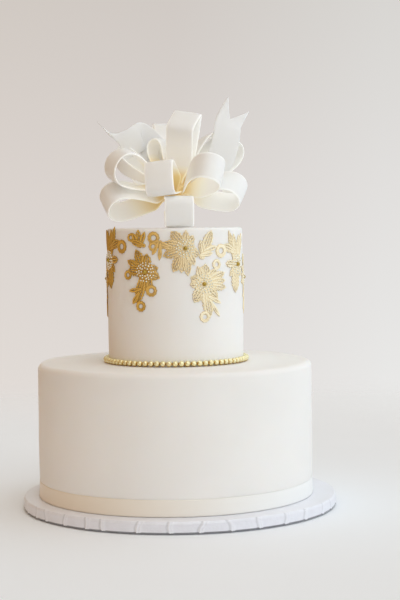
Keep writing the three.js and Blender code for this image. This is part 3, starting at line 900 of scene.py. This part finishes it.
def make_lace(name, sizes, materials):
    motif_name, azimuth, height, mirrored = LACE_PLACES[name]
    motif = MOTIFS[motif_name]
    draw = np.random.default_rng(sum(map(ord, name)))
    heap = Heap()
    points, faces, relief = lace_sheet(motif, sizes.lace_depth / MM, sizes.lace_grid / MM, draw)
    points[:, 2] += LACE["lift"]
    heap.add(points, faces, GOLD)
    reliefs = [relief]
    if motif.get("bead"):
        for x, y, size, kind, squash in flower_beads(draw):
            points, faces = ball((x, y, 0.7 + 0.3 * size), size, *BEAD_MESHES[kind], squash)
            heap.add(points, faces, kind)
            reliefs.append(np.ones(len(points)))
    whole, faces = np.concatenate(heap.points), heap.faces
    if mirrored:
        whole[:, 0] *= -1
        faces = [face[::-1] for face in faces]
    radius = sizes.upper_radius / MM
    bent = bend_round(whole, azimuth, height, radius)
    # How far right each point lies, for the lace's painted highlight on the right.
    aside = (bent[:, 0] - UPPER_MIDDLE[0] / MM) / radius
    piece = put_mesh(
        "lace_" + name + "_gold", bent, faces, materials, heap.kinds,
        relief=np.concatenate(reliefs), pale=ease(aside, -0.75, 0.75),
    )
    return place_piece(piece, "lace_" + name)


# ---------------------------------------------------------------- bow
def loop(azimuth, rise, roll, reach, height, **extra):
    return dict(azimuth=azimuth, rise=rise, roll=roll, reach=reach, height=height, **extra)


# Each loop: its direction and roll in degrees, and its reach and height in millimetres. Some are
# blunter, slanted, tilted, pinched or flared otherwise, and deep is how much painted warm shade
# they get inside.
LOOPS = {
    "front_low": loop(-88, -15.3, 0, 68, 26, blunt=1.5),
    "left_low": loop(201, -5, -40, 74, 27, pinch=2.2, flare=14, deep=1.1),
    "right_low": loop(-27, 3, 40, 70, 26, flare=16, deep=0.5),
    "back_right_low": loop(36, 2, 10, 67, 23),
    "back_low": loop(87, -8, 0, 68, 24),
    "back_left_low": loop(150, -7, -12, 74, 25),
    "front_left": loop(-104, 14, 6, 70, 30, blunt=1.6, deep=2.8),
    "front_right": loop(-60, 19, 66, 76, 27, deep=0.8),
    "left_high": loop(210, 25, -15, 77, 31, pinch=2.2, flare=12),
    "right_high": loop(20, 40, 20, 80, 26),
    "back_right": loop(55, 24, -6, 70, 24, flare=45),
    "back_left": loop(120, 24, 8, 72, 24, flare=45),
    "crown": loop(-110, 81, 0, 75, 21, tilt=10, blunt=2, slant=0.6, deep=0.6),
    "crown_left": loop(125, 64, 12, 60, 18, deep=3.6),
    "crown_back_left": loop(160, 34, 40, 73, 14, flare=60),
    "crown_back": loop(100, 51, 0, 92, 15, flare=60),
    "crown_back_right": loop(30, 52, -10, 74, 18, flare=50),
}
# A strip widens over its flare, keeps a gap where it is pinched, and its faces are cupped.
STRIP = {"flare": 26.0, "pinch_gap": 1.1, "cup": 0.35, "cup_level": 0.4, "ends": 0.01}
# How many rows of points a loop and a tail have, and how many the coarser shapes that trim them.
STRIP_ROWS = {"loop": 112, "loop_cutter": 64, "tail": 72, "tail_cutter": 36}

# Each tail: points along one edge from the knot to the tip, the facing direction in degrees at its
# start and end, the side the strip lies on, and how its end is cut.
TAILS = {
    "right": {
        "path": [
            (13, -3, 12), (28, -9, 36), (32, -9, 46), (35, -8, 56), (38, -5, 71), (41, -2, 79),
            (51, 3, 96),
        ],
        "facing": (-90, -66),
        "side": 1,
        "cut": lambda share: 1 - 0.2 * (1 - abs(2 * share - 1)),
    },
    "left": {
        "path": [
            (-4, 11, 12), (-8, 26, 40), (-14, 31, 58), (-29, 25, 71), (-37, 18, 72), (-49, 8, 64),
            (-62, 3, 61), (-77, 0, 73),
        ],
        "facing": (-90, -40),
        "side": -1,
        "cut": lambda share: 1 - 0.5 * math.sqrt(share) + 0.33 * share,
    },
}

# Across a strip: points from edge to edge, and the thickness there as a share of the full one.
ACROSS = [-1, -0.985, -0.95, -0.87, -0.6, -0.3, 0, 0.3, 0.6, 0.87, 0.95, 0.985, 1]
FULLNESS = [0.22, 0.55, 0.82, 1, 1, 1, 1, 1, 1, 1, 0.82, 0.55, 0.22]


def strip_width(run, sizes, flare=STRIP["flare"]):
    root, full = sizes.strip_root / MM, sizes.strip_width / MM
    return root + (full - root) * ease(run, 0, flare)


def loop_axes(shape):
    """Directions of a loop: outwards, up its plane, and across the strip."""
    a, e, q = (math.radians(shape[key]) for key in ("azimuth", "rise", "roll"))
    out = np.array([math.cos(a) * math.cos(e), math.sin(a) * math.cos(e), math.sin(e)])
    level = np.array([-math.sin(a), math.cos(a), 0])
    steep = np.cross(out, level)
    across = level * math.cos(q) + steep * math.sin(q)
    up = np.cross(out, across)
    tilt = math.radians(shape.get("tilt", 0))
    turned_out = out * math.cos(tilt) + np.cross(up, out) * math.sin(tilt)
    turned_across = across * math.cos(tilt) + np.cross(up, across) * math.sin(tilt)
    return turned_out, up, turned_across


def loop_outline(shape, t):
    """The strip's middle line in the loop's plane, out from the knot and up."""
    pinch, blunt, slant = shape.get("pinch", 1.8), shape.get("blunt", 1), shape.get("slant", 0)
    run = shape["reach"] - KNOT["ball"] - TRIM_GAP
    widest = math.atan(math.sqrt(pinch + 1))
    peak = 2 * math.sin(widest) ** (pinch + 1) * math.cos(widest)
    x = 1 - (1 - (1 - np.cos(t)) / 2) ** blunt
    bulge = np.sin(t) * np.sin(t / 2) ** pinch / peak
    y = -(shape["height"] / 2) * bulge - np.cos(t / 2) * STRIP["pinch_gap"]
    return run * x + slant * y * x * x, y


def sheet_mesh(points, normals, thickness):
    """A closed thin sheet about a grid of points, with a thickness at each."""
    rows, columns = points.shape[:2]
    half = normals * thickness[..., None] / 2
    both = np.concatenate([(points + half).reshape(-1, 3), (points - half).reshape(-1, 3)])
    count = rows * columns
    faces = [face[::-1] for face in grid_faces(rows, columns)]
    faces += grid_faces(rows, columns, start=count)
    ring = (
        [j for j in range(columns)]
        + [i * columns + columns - 1 for i in range(1, rows)]
        + [(rows - 1) * columns + j for j in range(columns - 2, -1, -1)]
        + [i * columns for i in range(rows - 2, 0, -1)]
    )
    for k, a in enumerate(ring):
        b = ring[(k + 1) % len(ring)]
        faces.append([b, a, a + count, b + count])
    return both, faces


def loop_sheet(shape, sizes, rows, across, fullness, swell=0.0):
    out, up, side = loop_axes(shape)
    t = np.linspace(STRIP["ends"], 2 * math.pi - STRIP["ends"], rows)
    x, y = loop_outline(shape, t)
    x1, y1 = loop_outline(shape, t + 1e-3)
    x0, y0 = loop_outline(shape, t - 1e-3)
    ahead = unit(np.stack([x1 - x0, y1 - y0], -1))
    width = strip_width(x, sizes, shape.get("flare", STRIP["flare"])) / 2 + swell
    root = KNOT["ball"] + TRIM_GAP
    line = BOW_MIDDLE + out * (root + x[:, None]) + up * y[:, None]
    normal = -out * ahead[:, 1:] + up * ahead[:, :1]
    across = np.asarray(across, float)[None, :]
    points = line[:, None] + side * (width[:, None] * across)[..., None]
    normals = np.repeat(normal[:, None], across.size, axis=1)
    cup = STRIP["cup"] * (across**2 - STRIP["cup_level"]) * ease(x, 0, shape["reach"] / 2)[:, None]
    thickness = (sizes.strip_thickness / MM + 2 * swell) * np.asarray(fullness, float)
    thickness = np.repeat(thickness[None, :], rows, axis=0)
    return sheet_mesh(points + normals * cup[..., None], normals, thickness)


def smooth_path(knots, samples=48):
    """Points of a centripetal curve through the given ones, evenly close together."""
    knots = np.asarray(knots, float)
    ends = np.vstack([2 * knots[0] - knots[1], knots, 2 * knots[-1] - knots[-2]])
    line = []
    for i in range(len(knots) - 1):
        p0, p1, p2, p3 = ends[i : i + 4]
        d0, d1, d2 = (np.linalg.norm(b - a) ** 0.5 for a, b in ((p0, p1), (p1, p2), (p2, p3)))
        m1 = ((p1 - p0) / d0 - (p2 - p0) / (d0 + d1) + (p2 - p1) / d1) * d1
        m2 = ((p2 - p1) / d1 - (p3 - p1) / (d1 + d2) + (p3 - p2) / d2) * d1
        u = np.linspace(0, 1, samples, endpoint=False)[:, None]
        square, cube = 3 * (p2 - p1) - 2 * m1 - m2, 2 * (p1 - p2) + m1 + m2
        line.append(p1 + m1 * u + square * u**2 + cube * u**3)
    line = np.vstack([*line, knots[-1:]])
    distance = np.concatenate([[0], np.cumsum(np.linalg.norm(np.diff(line, axis=0), axis=1))])
    return line, distance


def tail_sheet(tail, sizes, rows, across, fullness, swell=0.0):
    line, distance = smooth_path(tail["path"])
    whole = distance[-1]
    slope = unit(np.gradient(line, distance, axis=0))

    def at(values, t):
        return np.stack([np.interp(t * whole, distance, values[:, k]) for k in range(3)], -1)

    share = (np.asarray(across, float) + 1) / 2
    step = np.linspace(0, 1, rows)
    t = np.array([tail["cut"](s) for s in share])[None, :] * step[:, None]
    ahead = unit(at(slope, t))
    look = np.radians(tail["facing"][0] + (tail["facing"][1] - tail["facing"][0]) * t)
    facing = np.stack([np.cos(look), np.sin(look), np.zeros_like(look)], -1)
    side = unit(np.cross(facing, ahead)) * -tail["side"]
    offset = share[None, :] * strip_width(t * whole, sizes) + swell * (2 * share[None, :] - 1)
    points = BOW_MIDDLE + at(line, t) + side * offset[..., None]
    normals = unit(np.cross(ahead, side))
    thickness = (sizes.strip_thickness / MM + 2 * swell) * np.asarray(fullness, float)
    thickness = np.repeat(thickness[None, :], rows, axis=0)
    if swell == 0:
        thickness[-1] *= 0.4
    return sheet_mesh(points, normals, thickness)


def biggest_island(mesh):
    """Keeps the part of a mesh that has the most faces."""
    count = len(mesh.vertices)
    parent = np.arange(count)
    edges = np.array([edge.vertices[:] for edge in mesh.edges], int)
    while True:
        low = np.minimum(parent[edges[:, 0]], parent[edges[:, 1]])
        before = parent.copy()
        np.minimum.at(parent, edges[:, 0], low)
        np.minimum.at(parent, edges[:, 1], low)
        parent = parent[parent]
        if (parent == before).all():
            break
    labels, sizes_found = np.unique(parent, return_counts=True)
    if len(labels) == 1:
        return
    keep = labels[sizes_found.argmax()]
    work = bmesh.new()
    work.from_mesh(mesh)
    work.verts.ensure_lookup_table()
    bmesh.ops.delete(work, geom=[v for v in work.verts if parent[v.index] != keep], context="VERTS")
    work.to_mesh(mesh)
    work.free()


def trim(piece, cutters):
    """Cuts the given objects out of the piece."""
    for cutter in cutters:
        cut = piece.modifiers.new("trim", "BOOLEAN")
        cut.operation, cut.object, cut.solver = "DIFFERENCE", cutter, "MANIFOLD"
    bpy.context.view_layer.update()
    depsgraph = bpy.context.evaluated_depsgraph_get()
    trimmed = bpy.data.meshes.new_from_object(piece.evaluated_get(depsgraph))
    piece.modifiers.clear()
    old, piece.data = piece.data, trimmed
    bpy.data.meshes.remove(old)
    biggest_island(piece.data)


def overlap(first, second):
    """Whether the boxes of two sets of points meet."""
    return bool((first.min(0) <= second.max(0)).all() and (second.min(0) <= first.max(0)).all())


def mesh_points(mesh):
    points = np.zeros(len(mesh.vertices) * 3)
    mesh.vertices.foreach_get("co", points)
    return points.reshape(-1, 3) / MM


def add_layer(mesh, name, values):
    layer = mesh.attributes.get(name) or mesh.attributes.new(name, "FLOAT", "POINT")
    layer.data.foreach_set("value", np.asarray(values, np.float32))


def loop_depth(shape, points, sizes):
    """How much painted glow each point gets, how much painted warm shade deep in the bow, how near
    an edge.
    """
    out, up, across = loop_axes(shape)
    x, y = loop_outline(shape, np.linspace(STRIP["ends"], 2 * math.pi - STRIP["ends"], 400))
    x = x + KNOT["ball"] + TRIM_GAP
    ahead = unit(np.stack([np.gradient(x), np.gradient(y)], -1))
    flat = np.stack([(points - BOW_MIDDLE) @ out, (points - BOW_MIDDLE) @ up], -1)
    nearest = np.array([np.argmin((x - a) ** 2 + (y - b) ** 2) for a, b in flat])
    offset = flat - np.stack([x[nearest], y[nearest]], -1)
    side = offset[:, 0] * -ahead[nearest, 1] + offset[:, 1] * ahead[nearest, 0]
    inner = ease(side, -0.2, 0.2)
    near = 1 - (x[nearest] - x.min()) / (x.max() - x.min())
    # Painted warm shade deep in the bow, and painted glow on the inner faces and near the knot.
    warmth = inner * near**1.9 * shape.get("deep", 1) + (1 - inner) * ease(near, 0.66, 1)
    lit = np.maximum(inner, 0.6 * ease(near, 0.1, 0.5))
    run = x[nearest] - KNOT["ball"] - TRIM_GAP
    half = strip_width(run, sizes, shape.get("flare", STRIP["flare"])) / 2
    rim = ease(np.abs((points - BOW_MIDDLE) @ across) - half, -1.1, -0.4)
    return lit, np.clip(warmth, 0, 1), rim


def tail_depth(points):
    """The same for a tail, which gets painted glow and painted warm shade only near the knot."""
    near = 0.5 * (1 - fade(np.linalg.norm(points - BOW_MIDDLE, axis=1), 12, 50))
    return near, near, 0 * near


def strip_makers(sizes):
    """Name, depth function, shape and trimming shape of every strip, in the order of trimming."""
    fine, coarse = (ACROSS, FULLNESS), ([-1, 0, 1], [1, 1, 1], TRIM_GAP)
    for name, shape in LOOPS.items():
        yield (
            "loop_" + name,
            lambda found, shape=shape: loop_depth(shape, found, sizes),
            loop_sheet(shape, sizes, STRIP_ROWS["loop"], *fine),
            loop_sheet(shape, sizes, STRIP_ROWS["loop_cutter"], *coarse),
        )
    for name, tail in TAILS.items():
        yield (
            "tail_" + name,
            tail_depth,
            tail_sheet(tail, sizes, STRIP_ROWS["tail"], *fine),
            tail_sheet(tail, sizes, STRIP_ROWS["tail_cutter"], *coarse),
        )


def make_strips(sizes, colours):
    material = paste_material(colours)
    cutters = []
    for name, depth, (points, faces), swollen in strip_makers(sizes):
        piece = put_mesh("bow_" + name + "_strip", points, faces, [material])
        near = [cutter for cutter, box in cutters if overlap(points, box)]
        if near:
            trim(piece, near)
        # Point layers for the painted glow, painted warm shade and painted edge highlight.
        values = depth(mesh_points(piece.data))
        for layer, given in zip(("inside", "warmth", "rim"), values):
            add_layer(piece.data, layer, given)
        piece.data.polygons.foreach_set("use_smooth", np.ones(len(piece.data.polygons), bool))
        piece.data.set_sharp_from_angle(angle=math.radians(50))
        place_piece(piece, "bow_" + name)
        cutters.append((put_mesh("cutter_" + name, *swollen, []), swollen[0]))
    for cutter, _ in cutters:
        bpy.data.objects.remove(cutter)


def make_knot(sizes, colours):
    ball_radius, foot, neck = KNOT["ball"], KNOT["foot"], KNOT["neck"]
    join = math.degrees(math.asin(neck / ball_radius))
    profile = [
        *[[share * foot, TRIM_GAP] for share in (0, 0.7, 1)],
        [foot - 1.4, TRIM_GAP + 2.5],
        [neck, TRIM_GAP + 6],
        *quarter(0, KNOT["height"], ball_radius, join - 90, 88, 22),
        [0, KNOT["height"] + ball_radius],
    ]

    def warp(angle, ring, level):
        folds = KNOT["folds"] * (np.sin(9 * angle + 0.12 * level) * ease(level, 0, 8) - 1)
        return ring + np.where(ring > 3, folds, 0), level

    points, faces = turned(profile, KNOT["sides"], BOW_FOOT, warp)
    # Painted glow and painted warm shade on the knot's upper part, deep in the bow.
    deep = ease(points[:, 2] - BOW_FOOT[2], 14, 28)
    material = paste_material(colours)
    piece = put_mesh("bow_knot", points, faces, [material], inside=deep, warmth=deep)
    return place_piece(piece, "bow_core")


# ---------------------------------------------------------------- stage
CAMERA = {
    "place": (0.0, -1.4387, 0.2720), "pitch": 2.891, "yaw": 0.871, "roll": -0.734, "lens": 88.6,
    "clip": (0.05, 50),
}
# The floor's rings in metres, its sides, and from where to where it fades into the backdrop.
FLOOR = {"rings": (0.2, 0.4, 0.7, 1.1, 1.7), "sides": 96, "solid": 0.42, "gone": 1.25}


def make_floor(colours):
    rings, sides = FLOOR["rings"], FLOOR["sides"]
    angle = np.linspace(0, 2 * math.pi, sides, endpoint=False)
    round_it = [np.stack([r * np.cos(angle), r * np.sin(angle), 0 * angle], -1) / MM for r in rings]
    points = np.concatenate([*round_it, np.zeros((1, 3))])
    faces = [face[::-1] for face in grid_faces(len(rings), sides, wrap=True)]
    faces += [[j, (j + 1) % sides, len(points) - 1] for j in range(sides)]
    s = Shader("pale_floor")
    s.set(
        base_color=s.mixed(s.noise(6.0), shade(colours.floor, 0.99), shade(colours.floor, 1.01)),
        roughness=0.6,
        specular_ior_level=0.2,
        alpha=s.remap(s.vector("LENGTH", first=s.place), FLOOR["solid"], FLOOR["gone"], 1.0, 0.0),
    )
    floor = put_mesh("floor", points, faces, [s.material])


# Light from all round, from the left (0) to the right (1).
ROOM_TONES = [
    (0.0, (0.39, 0.19, 0.05)), (0.3, (0.49, 0.36, 0.24)), (0.5, (0.675, 0.69, 0.66)),
    (0.75, (0.81, 0.85, 0.875)), (1.0, (0.89, 0.93, 0.97)),
]
# The backdrop behind the cake, from below the horizon to above it, and its tone from left to right.
WALL_SPAN, WALL_SIDES = (-0.15, 0.16), (-0.14, 0.14)
WALL_TONES = [(0.0, (0.83, 0.83, 0.82)), (0.55, (0.76, 0.745, 0.73)), (1.0, (0.68, 0.665, 0.64))]
WALL_SIDE_TONES = [(0.0, (0.93, 0.875, 0.84)), (0.5, (0.925, 0.88, 0.86)), (1.0, (1.0, 1.0, 1.0))]
KEY = {"tint": (0.97, 1.0, 1.02), "cone": (0.25, 0.98)}
LAMP = {"azimuth": 15, "rise": 60, "strength": 2.4, "cone": (0.955, 0.985), "tint": (1.0, 1.0, 1.0)}


def make_world(light):
    """Soft light all round: warm and low from the left, neutral and bright from the right."""
    world = bpy.data.worlds.new("soft_studio")
    bpy.context.scene.world = world
    world.use_nodes = True
    world.node_tree.nodes.clear()
    n = Nodes(world.node_tree)
    direction = n.node("ShaderNodeTexCoord").outputs["Generated"]
    split = n.node("ShaderNodeSeparateXYZ", {"Vector": direction}).outputs

    def tones(axis, span, stops):
        """Colours by how far a direction points along an axis."""
        return n.ramp(n.remap(split[axis], *span, kind="LINEAR"), stops)

    def lobe(azimuth, rise, strength, shape):
        """Light from one direction that fades out over a cone."""
        level = math.cos(rise)
        toward = (math.sin(azimuth) * level, -math.cos(azimuth) * level, math.sin(rise))
        facing = n.vector("DOT_PRODUCT", first=direction, second=toward)
        tint = tuple(strength * channel for channel in shape["tint"])
        return n.vector("SCALE", first=tint, scale=n.remap(facing, *shape["cone"]))

    room = tones("X", (-1.0, 1.0), ROOM_TONES)
    key = lobe(light.key_azimuth, light.key_rise, light.key_strength, KEY)
    lamp = lobe(math.radians(LAMP["azimuth"]), math.radians(LAMP["rise"]), LAMP["strength"], LAMP)
    light_sum = n.vector("ADD", first=n.vector("ADD", first=room, second=key), second=lamp)
    wall = tones("Z", WALL_SPAN, WALL_TONES)
    backdrop = n.vector("MULTIPLY", first=wall, second=tones("X", WALL_SIDES, WALL_SIDE_TONES))
    lighting = n.node("ShaderNodeBackground", {"Color": light_sum}).outputs[0]
    seen = n.node("ShaderNodeBackground", {"Color": backdrop}).outputs[0]
    camera_ray = n.node("ShaderNodeLightPath").outputs["Is Camera Ray"]
    either = n.node("ShaderNodeMixShader", {"Fac": camera_ray, 1: lighting, 2: seen}).outputs[0]
    n.node("ShaderNodeOutputWorld", {"Surface": either})


def make_camera():
    pitch, yaw, roll = (math.radians(CAMERA[key]) for key in ("pitch", "yaw", "roll"))
    flat = math.cos(pitch)
    ahead = Vector((math.sin(yaw) * flat, math.cos(yaw) * flat, -math.sin(pitch)))
    level = Vector((math.cos(yaw), -math.sin(yaw), 0))
    above = level.cross(ahead)
    right = math.cos(roll) * level + math.sin(roll) * above
    up = math.cos(roll) * above - math.sin(roll) * level
    data = bpy.data.cameras.new("front_camera")
    data.lens = CAMERA["lens"]
    data.clip_start, data.clip_end = CAMERA["clip"]
    camera = bpy.data.objects.new("front_camera", data)
    bpy.context.scene.collection.objects.link(camera)
    place = Vector(CAMERA["place"])
    camera.matrix_world = Matrix(
        [[right[k], up[k], -ahead[k], place[k]] for k in range(3)] + [[0, 0, 0, 1]]
    )
    bpy.context.scene.camera = camera


# ---------------------------------------------------------------- operators
class CakeOperator:
    bl_options = {"REGISTER", "UNDO"}

    def settings(self, context):
        return context.scene.cake_sizes, context.scene.cake_colours


class CAKE_OT_board(CakeOperator, bpy.types.Operator):
    """Wrap the board in pleated foil paper"""

    bl_idname = "cake.board"
    bl_label = "Wrap board"

    def execute(self, context):
        make_board(*self.settings(context))
        return {"FINISHED"}


class CAKE_OT_tiers(CakeOperator, bpy.types.Operator):
    """Ice the two tiers"""

    bl_idname = "cake.tiers"
    bl_label = "Ice tiers"

    def execute(self, context):
        sizes, colours = self.settings(context)
        icing = icing_material(colours)
        wander = sizes.unevenness / MM
        make_tier(
            "lower_icing", "lower_tier", LOWER_MIDDLE, sizes.lower_radius / MM,
            sizes.lower_foot / MM, sizes.lower_height / MM, sizes.lower_corner / MM,
            wander=2 * wander, seed=3, material=icing,
        )
        make_tier(
            "upper_icing", "upper_tier", UPPER_MIDDLE, sizes.upper_radius / MM,
            sizes.upper_foot / MM, sizes.upper_height / MM, sizes.upper_corner / MM,
            wander=0.5 * wander, seed=8, material=icing,
        )
        return {"FINISHED"}


class CAKE_OT_ribbon(CakeOperator, bpy.types.Operator):
    """Lay the satin ribbon round the foot"""

    bl_idname = "cake.ribbon"
    bl_label = "Lay ribbon"

    def execute(self, context):
        make_ribbon(*self.settings(context))
        return {"FINISHED"}


class CAKE_OT_pearls(CakeOperator, bpy.types.Operator):
    """Set the row of pearls round the upper tier"""

    bl_idname = "cake.pearls"
    bl_label = "Set pearls"

    def execute(self, context):
        make_pearls(*self.settings(context))
        return {"FINISHED"}


class CAKE_OT_lace(CakeOperator, bpy.types.Operator):
    """Lay every lace motif on the upper tier"""

    bl_idname = "cake.lace"
    bl_label = "Lay lace"

    def execute(self, context):
        sizes, colours = self.settings(context)
        materials = [
            lace_material(colours),
            pearl_material(colours, "stamen_bead", colours.stamen),
            pearl_material(colours, "middle_bead", colours.middle_bead),
        ]
        for name in LACE_PLACES:
            make_lace(name, sizes, materials)
        return {"FINISHED"}


class CAKE_OT_bow(CakeOperator, bpy.types.Operator):
    """Build the bow: its knot, loops and tails"""

    bl_idname = "cake.bow"
    bl_label = "Build bow"

    def execute(self, context):
        sizes, colours = self.settings(context)
        make_knot(sizes, colours)
        make_strips(sizes, colours)
        return {"FINISHED"}


class CAKE_OT_stage(CakeOperator, bpy.types.Operator):
    """Set the floor, the light and the camera"""

    bl_idname = "cake.stage"
    bl_label = "Set stage"

    def execute(self, context):
        make_floor(context.scene.cake_colours)
        make_world(context.scene.cake_light)
        make_camera()
        context.scene.view_settings.view_transform = "Standard"
        return {"FINISHED"}


OPERATORS = [
    CAKE_OT_board, CAKE_OT_tiers, CAKE_OT_ribbon, CAKE_OT_pearls, CAKE_OT_lace, CAKE_OT_bow,
    CAKE_OT_stage,
]


class CAKE_PT_panel(bpy.types.Panel):
    """Lists the steps and their settings"""

    bl_idname = "CAKE_PT_panel"
    bl_label = "Wedding cake"
    bl_space_type = "VIEW_3D"
    bl_region_type = "UI"
    bl_category = "Cake"

    def draw(self, context):
        layout, scene = self.layout, context.scene
        for operator in OPERATORS:
            layout.operator(operator.bl_idname)
        for group in (scene.cake_sizes, scene.cake_colours, scene.cake_light):
            box = layout.box()
            for key in group.__annotations__:
                box.prop(group, key)


GROUPS = {"cake_sizes": CAKE_PG_sizes, "cake_colours": CAKE_PG_colours, "cake_light": CAKE_PG_light}
CLASSES = [*GROUPS.values(), *OPERATORS, CAKE_PT_panel]


def register():
    for cls in CLASSES:
        bpy.utils.register_class(cls)
    for key, group in GROUPS.items():
        setattr(bpy.types.Scene, key, bpy.props.PointerProperty(type=group))


def unregister():
    for key in GROUPS:
        delattr(bpy.types.Scene, key)
    for cls in reversed(CLASSES):
        bpy.utils.unregister_class(cls)


def main():
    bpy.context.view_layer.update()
    register()
    bpy.ops.cake.board()
    bpy.ops.cake.tiers()
    bpy.ops.cake.ribbon()
    bpy.ops.cake.pearls()
    bpy.ops.cake.lace()
    bpy.ops.cake.bow()
    bpy.ops.cake.stage()


if __name__ == "__main__":
    main()
